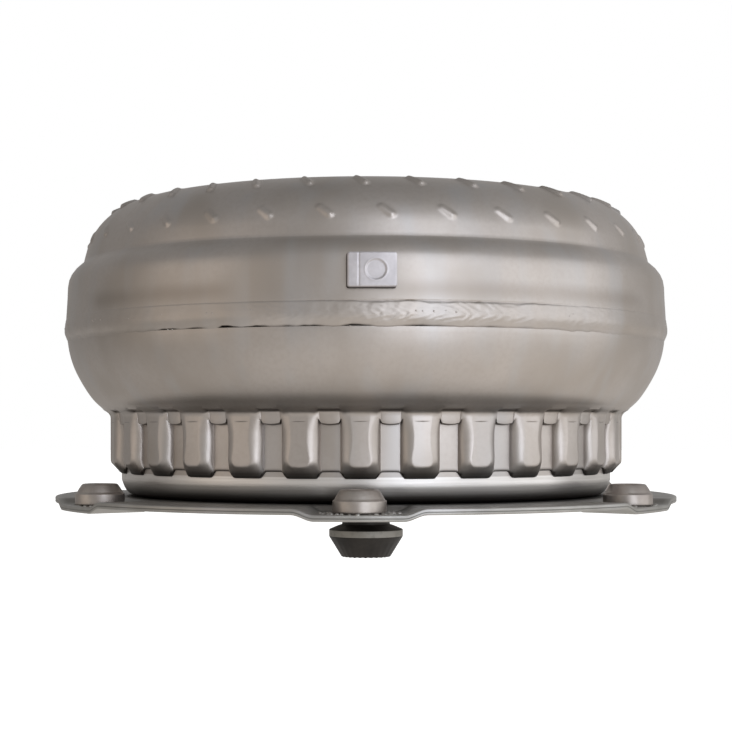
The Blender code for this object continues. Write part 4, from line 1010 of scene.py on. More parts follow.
@dataclass
class ImpellerShell:
    """The band, the torus over it and the marks where the blades' tabs press through. Sizes are in mm.

    Attributes:
        blades: Number of blades, and so of marks in each of the two rows.
        torus_centre: Radius and height of the flow passage's centre.
        torus_radius: Radius of the passage's outer side.
        mark_height: How far an outer and an inner mark stand out at their lower ends.
        mark_half: Half width of a mark.
        outer_mark: Angle in degrees round the passage and round the axis, at both ends of an outer mark.
        inner_mark: The same for an inner mark.
        wall: Thickness of the sheet.
        opening: Radius of the opening for the hub.
        neck: Level of the flat neck round the hub.
        bottom: Level of the lower edge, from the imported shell.
    """

    blades: int = 33
    torus_centre: tuple[float, float] = (98.5, 129.9)
    torus_radius: float = 28.4
    mark_height: tuple[float, float] = (0.8, 1.4)
    mark_half: float = 1.9
    outer_mark: tuple[tuple[float, float], tuple[float, float]] = ((21.2, 5.6), (27.8, 3.8))
    inner_mark: tuple[tuple[float, float], tuple[float, float]] = ((56.5, 1.0), (70.0, -0.9))
    wall: float = 2.8
    opening: float = 30.3
    neck: float = field(init=False)
    bottom: float = field(init=False)

    def __post_init__(self) -> None:
        """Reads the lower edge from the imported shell, and sets the neck over the passage's centre."""
        self.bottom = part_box("impeller_shell")[0].z / MM
        self.neck = self.torus_centre[1] + 16.1

    def outline(self) -> tuple[Outline, np.ndarray]:
        """Draws the outer side from the band to the neck.

        Returns:
            The points, and their angles in degrees. Points off the passage have angles out of its range.
        """
        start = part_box("seam_weld")[1].z / MM
        band = curve_through([(134.95, start), (134.8, start + 2.5), (134.4, 116.0), (134.2, 121.0),
                              (133.7, 123.8), (132.7, 126.1), (130.9, 128.5), (129.0, 130.2),
                              (127.6, 131.4), (127.25, 132.0), (127.0, 133.2), (126.4, 135.4)], 2.2)
        first, last = 14.8, 135.0
        angles = np.concatenate([np.arange(first, 34.0, 1.05), np.arange(34.5, 49.0, 3.6),
                                 np.arange(50.5, 74.0, 1.25), np.linspace(76.0, last, 11)])
        torus = [arc(self.torus_centre, self.torus_radius, float(angle), float(angle), 1)[0]
                 for angle in angles]
        neck = curve_through([torus[-1], (74.3, 147.3), (68.0, self.neck), (50.0, self.neck)], 3.0)[1:]
        outline = [*band[:-1], *torus, *neck, (self.opening, self.neck)]
        passage = np.concatenate([np.full(len(band) - 1, -99.0), angles, np.full(len(neck) + 1, 199.0)])
        return outline, passage

    def raised(self, passage: np.ndarray, turn: np.ndarray, mark_height: float,
               ends: tuple[tuple[float, float], tuple[float, float]]) -> np.ndarray:
        """How far the marks of one row stand out of the passage's outer side.

        Args:
            passage: Angle of each point round the passage, in degrees.
            turn: Angle of each point round the axis, in degrees from the front.
            mark_height: How far the marks of this row stand out.
            ends: The mark's lower and upper end.

        Returns:
            The height at each point, in mm.
        """
        pitch = 360.0 / self.blades
        middle = math.radians((ends[0][0] + ends[1][0]) / 2)
        radius = self.torus_centre[0] + self.torus_radius * math.cos(middle)
        up = math.radians(1) * self.torus_radius * (passage - ends[0][0])
        offset = (turn - ends[0][1] + pitch / 2) % pitch - pitch / 2
        side = math.radians(1) * radius * offset
        length = math.radians(1) * self.torus_radius * (ends[1][0] - ends[0][0])
        lean = math.radians(1) * radius * (ends[1][1] - ends[0][1])
        along = np.clip((up * length + side * lean) / (length ** 2 + lean ** 2), 0, 1)
        away = np.hypot(up - along * length, side - along * lean) / self.mark_half
        return mark_height * (1 - 0.3 * along) * np.clip(1 - away ** 2, 0, None) ** 1.5

    def sector(self) -> bpy.types.Mesh:
        """Makes one blade's share of the shell: outer skin and inner skin.

        Returns:
            The mesh.
        """
        outline, passage = self.outline()
        pitch = 360.0 / self.blades
        turn = np.concatenate([np.linspace(-1.8, 7.4, 28), np.linspace(7.4, pitch - 1.8, 4)[1:]])
        skirt = [(131.0, self.bottom), (131.0, outline[0][1] - 0.4), (134.2, outline[0][1])]
        inside = [(self.opening, self.neck - self.wall), (68.0, self.neck - self.wall)]
        inside += arc(self.torus_centre, self.torus_radius - self.wall, 135.0, 18.0, 7)
        inside += [(124.0, 131.0), (130.5, 124.0), (131.2, 108.0), (128.2, 106.0), (128.2, self.bottom)]
        radius = np.array([point[0] for point in outline])[:, None]
        height = np.array([point[1] for point in outline])[:, None]
        lift = np.zeros((len(outline), len(turn)))
        grid_turn, grid_passage = np.meshgrid(turn, passage)
        for mark_height, ends in zip(self.mark_height, (self.outer_mark, self.inner_mark)):
            lift = lift + self.raised(grid_passage, grid_turn, mark_height, ends)
        lean = np.radians(np.clip(grid_passage, 0, 135))
        angle = FRONT + np.radians(turn)[None, :]
        skin = ring_points(radius + lift * np.cos(lean), angle, height + lift * np.sin(lean))
        plain = [ring_points(r, angle[0], z)[None] for r, z in skirt]
        back = [ring_points(r, angle[0], z)[None] for r, z in [*inside, skirt[0]]]
        return grid_mesh("shell_pitch", np.concatenate([*plain, skin, *back]))

    def build(self, pattern: bpy.types.NodeTree, look: bpy.types.Material) -> bpy.types.Object:
        """Repeats the blade's share round the axis.

        Args:
            pattern: The tree that repeats a share round the axis.
            look: The piece's material.

        Returns:
            The finished piece.
        """
        piece = linked("impeller_shell_pressing", self.sector())
        grow(piece, pattern, {"Count": self.blades, "Merge Distance": MERGE_DISTANCE, "Material": look},
             sharp=50.0)
        return dressed(piece, look, nodes=["impeller_shell"])


@dataclass
class SeamWeld:
    """The bead that joins cover and shell, with its notch below and spatter on it. Sizes are in mm.

    Attributes:
        columns: Steps round the axis.
        root_radius: Radius of the notch between cover and bead.
        crack: Angle from the front in degrees, and how open the notch is there from 0 to 1.
        laid: Angle from the front in degrees, and how strong the ripples are there from 0 to 1.
        mean_radius: Radius at which the ripples' length is measured.
        crown_rise: From the bead's lower edge to the chevrons' points.
        ripple_length: From one ripple to the next.
        ripple_depth: Depth of a ripple.
        chevron_slope: How far a ripple leans back for each millimetre away from its point.
        lump_size: Size of the lumps in the bead.
        lump_depth: Height of the lumps.
        root_fill: How far weld metal fills the notch outwards.
        root_lap: How far weld metal laps down over the cover.
        edge_wander: How far the borders wander up and down.
        drops: Drops of spatter for each square metre.
        low: Level of its lower edge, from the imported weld.
        high: Level of its upper edge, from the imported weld.
    """

    columns: int = 1440
    root_radius: float = 133.75
    crack: tuple[tuple[float, float], ...] = (
        (-180.0, 0.5), (-150.0, 0.9), (-128.0, 0.1), (-110.0, 0.7), (-80.0, 0.1), (-60.0, 0.05),
        (-46.0, 0.12), (-37.0, 0.35), (-35.5, 0.85), (-27.0, 0.7), (-25.6, 0.0), (-24.2, 0.0),
        (-23.0, 1.0), (-16.5, 0.9),
        (-14.5, 0.45), (-8.0, 0.65), (8.0, 0.55), (20.0, 0.45), (30.0, 0.3), (42.0, 0.22),
        (50.0, 0.06), (70.0, 0.1), (85.0, 0.6), (120.0, 0.2), (150.0, 0.7))
    laid: tuple[tuple[float, float], ...] = (
        (-180.0, 0.7), (-150.0, 0.9), (-120.0, 0.5), (-90.0, 0.6), (-60.0, 0.1), (-30.0, 0.15),
        (-10.0, 0.6), (4.0, 1.0), (28.0, 1.0), (36.0, 0.55), (48.0, 0.2), (75.0, 0.2), (100.0, 0.9),
        (140.0, 0.6))
    mean_radius: float = 135.0
    crown_rise: float = 4.2
    ripple_length: float = 5.4
    ripple_depth: float = 0.25
    chevron_slope: float = 2.6
    lump_size: float = 3.6
    lump_depth: float = 0.45
    root_fill: float = 0.42
    root_lap: float = 1.1
    edge_wander: float = 2.8
    drops: float = 80000.0
    low: float = field(init=False)
    high: float = field(init=False)

    def __post_init__(self) -> None:
        """Reads the bead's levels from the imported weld."""
        low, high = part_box("seam_weld")
        self.low, self.high = low.z / MM, high.z / MM

    def outline(self) -> tuple[Outline, list[tuple[float, ...]]]:
        """Draws the bead's section.

        Returns:
            The points, and each point's crown, root, edge, painted shade and groove shares.
        """
        low, high = self.low, self.high
        lip = curve_through([(self.root_radius, low), (134.15, low + 0.1), (134.5, low + 0.4),
                             (134.95, low + 1.3), (135.4, low + 2.5), (135.65, low + 3.9),
                             (135.6, low + 5.4), (135.45, low + 6.6), (135.3, low + 7.6),
                             (135.1, high - 1.1), (134.8, high - 0.75), (134.85, high - 0.35),
                             (134.95, high)], 0.5)
        section = []
        for radius, z in lip:
            crown = float(smooth_step(np.array((z - low - 0.4) / 1.6))
                          * smooth_step(np.array((high - z) / 1.5)))
            near = float(np.clip(1 - (z - low) / 0.4, 0, 1))
            groove = float(np.clip(1 - abs(z - high + 0.75) / 0.45, 0, 1))
            edge = max(float(np.clip(1 - (z - low) / 3.0, 0, 1)),
                       float(np.clip(1 - abs(z - high + 1.2) / 1.1, 0, 1)))
            # The fourth share is painted shade at the bead's foot, in the notch.
            section.append((crown, near ** 2, edge, near, groove))
        back = [(131.2, high), (131.2, low), (self.root_radius, low)]
        return lip + back, section + [(0.0,) * 5] * 2 + [section[0]]

    def build(self, bead: bpy.types.NodeTree, look: bpy.types.Material) -> bpy.types.Object:
        """Lays the bead round the axis.

        Args:
            bead: The tree that lays a bead.
            look: The piece's material.

        Returns:
            The finished piece.
        """
        outline, shares = self.outline()
        angle = FRONT + np.arange(self.columns + 1)[None, :] * math.tau / self.columns
        radius = np.array([point[0] for point in outline])[:, None]
        height = np.array([point[1] for point in outline])[:, None]
        turns = (np.degrees(angle - FRONT) + 180.0) % 360.0 - 180.0
        opened = np.interp(turns, *zip(*self.crack), period=360.0)
        marks = {name: np.broadcast_to(np.array([share[index] for share in shares])[:, None],
                                       (len(outline), self.columns + 1))
                 for index, name in enumerate(("crown", "root", "edge", "painted_shade", "groove"))}
        strength = np.interp(turns, *zip(*self.laid), period=360.0)
        # Where the ripples are faint, the groove along the top is filled and carries no painted shade.
        radius = radius + 0.29 * marks["groove"] * (1 - strength ** 2)
        marks["root"] = marks["root"] * (1 - opened)
        # Painted shade in the notch where it is open, and along the groove on top where the ripples are
        # strong.
        marks["painted_shade"] = marks["painted_shade"] * opened + 0.45 * marks.pop("groove") * strength ** 2
        marks["crown"] = marks["crown"] * (0.25 + 0.75 * strength)
        marks["edge"] = np.where(height > self.low + 5.0, marks["edge"] * strength, marks["edge"])
        piece = linked("seam_weld_bead", grid_mesh("bead", ring_points(radius, angle, height), marks))
        grow(piece, bead, {
            "Mean Radius": self.mean_radius * MM, "Crown Height": (self.low + self.crown_rise) * MM,
            "Ripple Length": self.ripple_length * MM, "Ripple Depth": self.ripple_depth * MM,
            "Chevron Slope": self.chevron_slope, "Lump Size": self.lump_size * MM,
            "Lump Depth": self.lump_depth * MM, "Root Fill": self.root_fill * MM,
            "Root Lap": self.root_lap * MM, "Edge Wander": self.edge_wander * MM, "Seed": 4.0,
            "Merge Distance": MERGE_DISTANCE, "Material": look}, sharp=60.0)
        return dressed(piece, look, nodes=["seam_weld"])

    def spatter(self, tree: bpy.types.NodeTree, look: bpy.types.Material) -> bpy.types.Object:
        """Scatters drops over the bead and just below it.

        Args:
            tree: The tree that scatters drops.
            look: The piece's material.

        Returns:
            The finished piece.
        """
        angle = FRONT + np.arange(241)[None, :] * math.tau / 240
        bm = bmesh.new()
        for levels in (((134.1, self.low - 1.0), (134.25, self.low - 0.3)),
                       ((135.6, self.low + 4.8), (135.5, self.low + 6.2))):
            radius = np.array([point[0] for point in levels])[:, None]
            height = np.array([point[1] for point in levels])[:, None]
            bm.from_mesh(grid_mesh("spatter_band", ring_points(radius, angle, height)))
        mesh = bpy.data.meshes.new("spatter_field")
        bm.to_mesh(mesh)
        bm.free()
        piece = linked("seam_weld_spatter", mesh)
        grow(piece, tree, {"Density": self.drops, "Smallest": 0.14 * MM, "Largest": 0.42 * MM,
                           "Flatness": 0.6, "Seed": 12, "Material": look}, sharp=80.0, recalculate=False)
        return dressed(piece, look)


@dataclass
class DrivePlate:
    """The ring plate with six pads pressed down at its bolt holes. Sizes are in mm.

    Attributes:
        pads: Number of pads.
        bore: Radius of the centre hole.
        pad_half: Half the angle that a pad spans, in degrees.
        ramp: Angle over which the plate drops to the pad, in degrees.
        drop: How far a pad lies under the ring.
        pad_inner: Radius where a pad starts.
        bolt_circle: Radius of the bolt circle.
        hole: Radius of a bolt hole.
        block: Half the side of the square block that the hole is cut from.
        radius: Outer radius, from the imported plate.
        top: Level of the ring's upper face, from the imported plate.
        under: Level of the ring's lower face.
    """

    pads: int = 6
    bore: float = 11.9
    pad_half: float = 7.0
    ramp: float = 3.6
    drop: float = 2.4
    pad_inner: float = 111.0
    bolt_circle: float = 127.5
    hole: float = 5.0
    block: float = 6.4
    radius: float = field(init=False)
    top: float = field(init=False)
    under: float = field(init=False)

    def __post_init__(self) -> None:
        """Reads the plate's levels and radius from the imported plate."""
        low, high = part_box("drive_plate")
        self.radius = -low.y / MM
        self.top, self.under = high.z / MM, low.z / MM + self.drop

    def dip(self, radius: np.ndarray, turn: np.ndarray) -> np.ndarray:
        """How far the plate lies under its ring."""
        along = smooth_step((self.pad_half + self.ramp - np.abs(turn)) / self.ramp)
        return self.drop * along * smooth_step((radius - self.pad_inner) / 3.4)

    def side(self) -> Outline:
        """The plate's sheared edge from top to bottom: a rounded lip, a bright band and a rough one.

        Returns:
            Radius and height of each point.
        """
        edge, top, under = self.radius, self.top, self.under
        middle = (top + under) / 2
        return [(edge - 0.7, top), (edge - 0.3, top - 0.08), (edge - 0.08, top - 0.3), (edge, top - 0.6),
                (edge, middle + 0.1), (edge - 0.12, middle - 0.02), (edge - 0.12, middle - 0.2),
                (edge, middle - 0.35), (edge, under + 0.5), (edge - 0.15, under + 0.15),
                (edge - 0.5, under)]

    def sector(self) -> bpy.types.Mesh:
        """Makes one pad's share of the plate, with its bolt hole.

        Returns:
            The mesh, with its painted shade.
        """
        half = 180.0 / self.pads
        right = np.concatenate([np.arange(0, 6.2, 1.03), np.arange(6.6, 11.2, 0.5),
                                np.linspace(12.0, half, 7)])
        turn = np.concatenate([-right[:0:-1], right])
        across = np.linspace(self.bolt_circle - self.block, self.bolt_circle + self.block, 7)
        flat = np.concatenate([[self.bore + 0.4, 50.0, 90.0, 105.0], np.linspace(110.6, 114.8, 8),
                               [118.0], across, [136.6]])
        side = self.side()
        radii = np.concatenate([flat, [point[0] for point in side], flat[::-1], [self.bore, self.bore]])
        levels = np.concatenate([np.full(len(flat), self.top), [point[1] for point in side],
                                 np.full(len(flat), self.under), [self.under + 0.4, self.top - 0.4]])
        radii, levels = np.append(radii, radii[0]), np.append(levels, levels[0])
        grid_turn, grid_radius = np.meshgrid(turn, radii)
        height = levels[:, None] - self.dip(grid_radius, grid_turn)
        points = ring_points(grid_radius, FRONT + np.radians(grid_turn), height)
        # Painted shade: the top face is darker, more so under the casing, with a painted dark line along
        # the middle of the sheared edge.
        shade = np.where(np.arange(len(radii))[:, None] < len(flat), 0.34, 0.0)
        shade = shade + np.where(shade > 0, 0.36, 0.0) * smooth_step((119.0 - grid_radius) / 12.0)
        shade[len(flat) + 5:len(flat) + 7] = 0.5
        mesh = grid_mesh("plate_sector", points, {"painted_shade": shade})
        first_row = int(np.argmin(np.abs(flat - across[0])))
        first_column = int(np.argmin(np.abs(turn + 3.09)))
        mirrored = len(radii) - 4 - first_row - 6
        return self.with_hole(mesh, len(turn), (first_row, mirrored), first_column)

    def with_hole(self, mesh: bpy.types.Mesh, columns: int, rows: tuple[int, int],
                  column: int) -> bpy.types.Mesh:
        """Opens the bolt hole in the plate's two faces and joins them by its wall.

        Args:
            mesh: The closed share of the plate.
            columns: Points in each row of its grid.
            rows: First row of the block of six by six cells, on the top and on the underside.
            column: First column of the block.

        Returns:
            The same mesh.
        """
        cells = 6
        bm = bmesh.new()
        bm.from_mesh(mesh)
        verts = list(bm.verts)
        rings = []
        doomed = []
        for start in rows:
            border = [(start, column + step) for step in range(cells)]
            border += [(start + step, column + cells) for step in range(cells)]
            border += [(start + cells, column + cells - step) for step in range(cells)]
            border += [(start + cells - step, column) for step in range(cells)]
            outer = [verts[row * columns + place] for row, place in border]
            doomed += [verts[(start + down) * columns + column + over]
                       for down in range(1, cells) for over in range(1, cells)]
            centre = Vector((0.0, -self.bolt_circle * MM, outer[0].co.z))
            spokes = [(vertex.co - centre).normalized() for vertex in outer]
            rings.append((outer, [bm.verts.new(centre + spoke * self.hole * MM) for spoke in spokes]))
        bmesh.ops.delete(bm, geom=doomed, context="VERTS")
        for outer, inner in rings:
            for index, vertex in enumerate(outer):
                after = (index + 1) % len(outer)
                bm.faces.new((vertex, outer[after], inner[after], inner[index]))
        (_, top_ring), (_, low_ring) = rings
        spokes = [math.atan2(vertex.co.y + self.bolt_circle * MM, vertex.co.x) for vertex in top_ring]
        order = [min(low_ring, key=lambda other, spoke=spoke: abs(math.remainder(
            math.atan2(other.co.y + self.bolt_circle * MM, other.co.x) - spoke, math.tau)))
                 for spoke in spokes]
        for index, vertex in enumerate(top_ring):
            after = (index + 1) % len(top_ring)
            bm.faces.new((vertex, top_ring[after], order[after], order[index]))
        bm.to_mesh(mesh)
        bm.free()
        return mesh

    def build(self, pattern: bpy.types.NodeTree, look: bpy.types.Material) -> bpy.types.Object:
        """Repeats the pad's share round the axis.

        Args:
            pattern: The tree that repeats a share round the axis.
            look: The piece's material.

        Returns:
            The finished piece.
        """
        piece = linked("drive_plate_pressing", self.sector())
        grow(piece, pattern, {"Count": self.pads, "Merge Distance": MERGE_DISTANCE, "Material": look},
             sharp=38.0)
        return dressed(piece, look, nodes=["drive_plate"])


def turned_mesh(name: str, outline: Outline, sides: int,
                centre: tuple[float, float] = (0.0, 0.0)) -> bpy.types.Mesh:
    """A closed mesh turned from an outline.

    Args:
        name: The mesh's name.
        outline: Radius and height of each point. It ends where it starts, or both ends lie on the axis.
        sides: Steps round the axis.
        centre: Where the axis stands, in mm.

    Returns:
        The mesh.
    """
    angle = FRONT + np.arange(sides + 1)[None, :] * math.tau / sides
    radius = np.array([point[0] for point in outline])[:, None]
    height = np.array([point[1] for point in outline])[:, None]
    place = np.array([centre[0], centre[1], 0.0]) * MM
    return grid_mesh(name, ring_points(radius, angle, height) + place)


@dataclass
class WeldNuts:
    """Six round nuts welded to the pads, with the spatter round their feet. Sizes are in mm.

    Attributes:
        count: Number of nuts.
        circle: Radius of the bolt circle.
        drops: Drops of spatter for each square metre.
        spread: Half depth and half width of the spatter's inner and outer border.
        thread_pitch: From one turn of the thread to the next.
        thread_turns: Turns of the thread that show in the bore.
        foot: Level of the feet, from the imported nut.
    """

    count: int = 6
    circle: float = 127.5
    drops: float = 230000.0
    spread: tuple[tuple[float, float], tuple[float, float]] = ((10.2, 10.2), (11.8, 15.5))
    thread_pitch: float = 1.25
    thread_turns: int = 6
    foot: float = field(init=False)

    def __post_init__(self) -> None:
        """Reads the level of the nuts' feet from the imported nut."""
        self.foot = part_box("weld_nut_1")[0].z / MM

    def outline(self) -> Outline:
        """A nut's section: foot, straight side, ledge, domed cone and threaded bore.

        Returns:
            Radius and height of each point.
        """
        foot = self.foot
        body = softened([(5.4, foot), (10.1, foot), (10.35, foot + 0.5), (10.3, foot + 4.6),
                         (9.6, foot + 5.0)], 0.4)
        dome = curve_through([(9.6, foot + 5.0), (9.3, foot + 5.6), (8.5, foot + 7.0),
                              (7.6, foot + 8.3)], 0.5)
        top = [(7.15, foot + 8.7), (6.5, foot + 8.8), (5.6, foot + 8.8), (5.1, foot + 8.3)]
        thread: Outline = []
        for turn in range(self.thread_turns):
            level = foot + 7.9 - turn * self.thread_pitch
            thread += [(4.95, level), (4.35, level - 0.45), (4.35, level - 0.62), (4.95, level - 1.1)]
        return [*body, *dome[1:], *top, *thread, (5.0, foot + 0.4), (5.4, foot)]

    def build(self, pattern: bpy.types.NodeTree, look: bpy.types.Material) -> bpy.types.Object:
        """Repeats one nut on the bolt circle.

        Args:
            pattern: The tree that repeats a share round the axis.
            look: The piece's material.

        Returns:
            The finished piece.
        """
        mesh = turned_mesh("weld_nut", self.outline(), 72, (0.0, -self.circle))
        piece = linked("weld_nuts", mesh)
        grow(piece, pattern, {"Count": self.count, "Merge Distance": MERGE_DISTANCE, "Material": look},
             sharp=36.0)
        nodes = [f"weld_nut_{number}" for number in range(1, self.count + 1)]
        return dressed(piece, look, nodes=nodes)

    def spatter(self, tree: bpy.types.NodeTree, look: bpy.types.Material) -> bpy.types.Object:
        """Scatters drops on the pads round the nuts.

        Args:
            tree: The tree that scatters drops.
            look: The piece's material.

        Returns:
            The finished piece.
        """
        level = self.foot - 0.45
        sides = 24
        bm = bmesh.new()
        for number in range(self.count):
            angle = FRONT + number * math.tau / self.count
            outward = Vector((math.cos(angle), math.sin(angle), 0))
            aside = Vector((-outward.y, outward.x, 0))
            centre = outward * self.circle + Vector((0, 0, level))
            inner, outer = (
                [bm.verts.new((centre + outward * deep * math.cos(turn)
                               + aside * wide * math.sin(turn)) * MM)
                 for turn in np.linspace(0, math.tau, sides, endpoint=False)]
                for deep, wide in self.spread)
            for index in range(sides):
                after = (index + 1) % sides
                bm.faces.new((inner[index], outer[index], outer[after], inner[after]))
        mesh = bpy.data.meshes.new("nut_spatter_field")
        bm.to_mesh(mesh)
        bm.free()
        piece = linked("weld_nut_spatter", mesh)
        grow(piece, tree, {"Density": self.drops, "Smallest": 0.35 * MM, "Largest": 1.05 * MM,
                           "Flatness": 0.8, "Seed": 5, "Material": look}, sharp=80.0, recalculate=False)
        return dressed(piece, look)


@dataclass
class Pilot:
    """The nose that centres the unit in the crankshaft. Sizes are in mm.

    Attributes:
        serrations: Shallow teeth on its tip.
        tooth: Depth of a tooth.
        tip_radius: Radius of the flat tip.
        land_radius: Radius of the ground land.
        land: Lower and upper level of the land.
        neck_radius: Radius of the neck over the land.
    """

    serrations: int = 26
    tooth: float = 0.35
    tip_radius: float = 11.15
    land_radius: float = 16.9
    land: tuple[float, float] = (9.4, 12.6)
    neck_radius: float = 10.9

    def build(self, pattern: bpy.types.NodeTree, look: bpy.types.Material) -> bpy.types.Object:
        """Turns the nose and cuts its tip.

        Args:
            pattern: The tree that repeats a share round the axis.
            look: The piece's material.

        Returns:
            The finished piece.
        """
        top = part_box("pilot")[1].z / MM
        outline = softened([(0.0, 0.0), (self.tip_radius, 0.0), (self.land_radius, self.land[0]),
                            (self.land_radius, self.land[1]), (12.6, 14.4), (self.neck_radius, 14.9),
                            (self.neck_radius, top), (0.0, top)], 0.45)
        outline[1:1] = [(4.0, 0.0), (8.0, 0.0), (10.0, 0.0)]
        steps = 6
        turn = np.arange(steps + 1) / steps
        radius = np.array([point[0] for point in outline])[:, None]
        height = np.array([point[1] for point in outline])[:, None]
        share = np.clip(1 - height / 0.9, 0, 1) * smooth_step((radius - 8.0) / 2.5)
        cut = self.tooth * (0.5 - 0.5 * np.cos(turn * math.tau))[None, :] * share
        angle = FRONT + turn[None, :] * math.tau / self.serrations
        piece = linked("pilot_nose", grid_mesh("pilot_pitch", ring_points(radius, angle, height + cut)))
        grow(piece, pattern, {"Count": self.serrations, "Merge Distance": MERGE_DISTANCE,
                              "Material": look})
        return dressed(piece, look, nodes=["pilot"])


@dataclass
class BalanceWeight:
    """The curved plate welded to the band, with its round punch mark. Sizes are in mm.

    Attributes:
        width: Along the band.
        height: Along the axis.
        thickness: How far it stands out.
        corner: Radius of its corners.
        fold: Distance of the upright crease from the left edge.
        punch: Offset from the middle and radius of the punch mark.
        gap: How far the back, painted dark as the shade in the joint, shows at its left and lower edges.
        round_over: How far in from its edges the face is rounded.
        crease: Depth and half width of the upright crease.
        punch_depth: Depth of the punch mark.
    """

    width: float = 18.4
    height: float = 13.0
    thickness: float = 2.0
    corner: float = 0.9
    fold: float = 4.2
    punch: tuple[float, float] = (1.4, 3.75)
    gap: float = 0.36
    round_over: float = 0.45
    crease: tuple[float, float] = (0.16, 0.22)
    punch_depth: float = 0.34

    def build(self, look: bpy.types.Material) -> bpy.types.Object:
        """Presses the plate to the band's curve.

        Args:
            look: The piece's material.

        Returns:
            The finished piece.
        """
        low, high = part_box("balance_weight")
        middle_z = (low.z + high.z) / 2 / MM
        middle = math.atan2((low.y + high.y) / 2, (low.x + high.x) / 2)
        across, up = np.meshgrid(np.linspace(-1, 1, 65) * self.width / 2,
                                 np.linspace(-1, 1, 47) * self.height / 2)
        beyond_x = np.abs(across) - (self.width / 2 - self.corner)
        beyond_y = np.abs(up) - (self.height / 2 - self.corner)
        reach = np.hypot(np.clip(beyond_x, 0, None), np.clip(beyond_y, 0, None))
        pull = np.where((beyond_x > 0) & (beyond_y > 0) & (reach > self.corner),
                        self.corner / np.maximum(reach, 1e-9), 1.0)
        round_x = np.sign(across) * (self.width / 2 - self.corner + beyond_x * pull)
        round_y = np.sign(up) * (self.height / 2 - self.corner + beyond_y * pull)
        across, up = np.where(pull < 1, round_x, across), np.where(pull < 1, round_y, up)
        edge = np.minimum(self.width / 2 - np.abs(across), self.height / 2 - np.abs(up))
        edge = np.where((beyond_x > 0) & (beyond_y > 0), self.corner - reach, edge)
        face = self.thickness - 0.3 * (1 - np.clip(edge / self.round_over, 0, 1)) ** 2
        depth, spread = self.crease
        face = face - depth * np.exp(-((across + self.width / 2 - self.fold) / spread) ** 2)
        face = face - 0.1 * smooth_step((self.width / 2 - np.abs(across) - self.width + self.fold) / 0.4)
        away = np.hypot(across - self.punch[0], up)
        face = face - self.punch_depth * smooth_step((self.punch[1] + 0.2 - away) / 0.5)
        face = face + 0.1 * np.exp(-((away - self.punch[1] - 0.35) / 0.3) ** 2)
        inner = math.hypot((low.x + high.x) / 2, low.y) / MM - self.thickness
        angle = middle + across / inner
        front = ring_points(inner + face, angle, middle_z + up)
        back = ring_points(np.full(angle.shape, inner), middle + (across * 1.02 - self.gap) / inner,
                           middle_z + up * 1.025 - self.gap)
        bm = bmesh.new()
        # A float layer has to be made before the points, or they are lost.
        painted_dark = bm.verts.layers.float.new("painted_shade")
        grids = [[[bm.verts.new(point) for point in row] for row in grid] for grid in (front, back)]
        # The back is painted dark: painted shade in the joint at the left and lower edges.
        for row in grids[1]:
            for vertex in row:
                vertex[painted_dark] = 1.4
        rows, columns = across.shape
        for grid in grids:
            for row in range(rows - 1):
                for column in range(columns - 1):
                    bm.faces.new((grid[row][column], grid[row][column + 1],
                                  grid[row + 1][column + 1], grid[row + 1][column]))
        border = [(0, column) for column in range(columns - 1)]
        border += [(row, columns - 1) for row in range(rows - 1)]
        border += [(rows - 1, column) for column in range(columns - 1, 0, -1)]
        border += [(row, 0) for row in range(rows - 1, 0, -1)]
        for (row, column), (next_row, next_column) in zip(border, border[1:] + border[:1]):
            bm.faces.new((grids[0][row][column], grids[0][next_row][next_column],
                          grids[1][next_row][next_column], grids[1][row][column]))
        mesh = bpy.data.meshes.new("balance_weight_plate")
        bm.to_mesh(mesh)
        bm.free()
        piece = settled(linked("balance_weight_plate", mesh), sharp=45.0)
        return dressed(piece, look, nodes=["balance_weight"])


@dataclass
class ImpellerHub:
    """The sleeve that drives the oil pump, with its two slots. Sizes are in mm.

    Attributes:
        bore: Inner radius.
        radius: Outer radius.
        flange: Radius of the flange that is welded into the shell.
        slot_width: Width of a drive slot.
        slot_depth: Depth of a drive slot.
    """

    bore: float = 19.0
    radius: float = 23.5
    flange: float = 30.0
    slot_width: float = 8.0
    slot_depth: float = 6.0

    def build(self, look: bpy.types.Material) -> bpy.types.Object:
        """Turns the sleeve and mills its slots.

        Args:
            look: The piece's material.

        Returns:
            The finished piece.
        """
        low, high = (corner.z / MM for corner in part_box("impeller_hub"))
        neck = low + 2.8
        outline = softened([
            (self.bore + 0.8, low), (self.flange, low), (self.flange, neck),
            (self.radius + 1.6, neck + 0.1),
            (self.radius, neck + 1.5), (self.radius, high - 1.2), (self.radius - 0.9, high),
            (self.bore + 0.9, high), (self.bore, high - 0.9), (self.bore, low + 0.8),
            (self.bore + 0.8, low)], 0.35)
        piece = linked("impeller_hub_sleeve", turned_mesh("hub_sleeve", outline, 144))
        settled(piece)
        cutter = linked("slot_cutter", bpy.data.meshes.new("slot_cutter"))
        bm = bmesh.new()
        bmesh.ops.create_cube(bm, size=1.0)
        size = Vector((3 * self.radius, self.slot_width, 2 * self.slot_depth)) * MM
        bmesh.ops.scale(bm, verts=bm.verts, vec=size)
        bmesh.ops.translate(bm, verts=bm.verts, vec=(0, 0, high * MM))
        bm.to_mesh(cutter.data)
        bm.free()
        slots = piece.modifiers.new("slots", "BOOLEAN")
        slots.operation, slots.solver, slots.object = "DIFFERENCE", "EXACT", cutter
        settled(piece, sharp=32.0)
        bpy.data.objects.remove(cutter)
        return dressed(piece, look, nodes=["impeller_hub"])


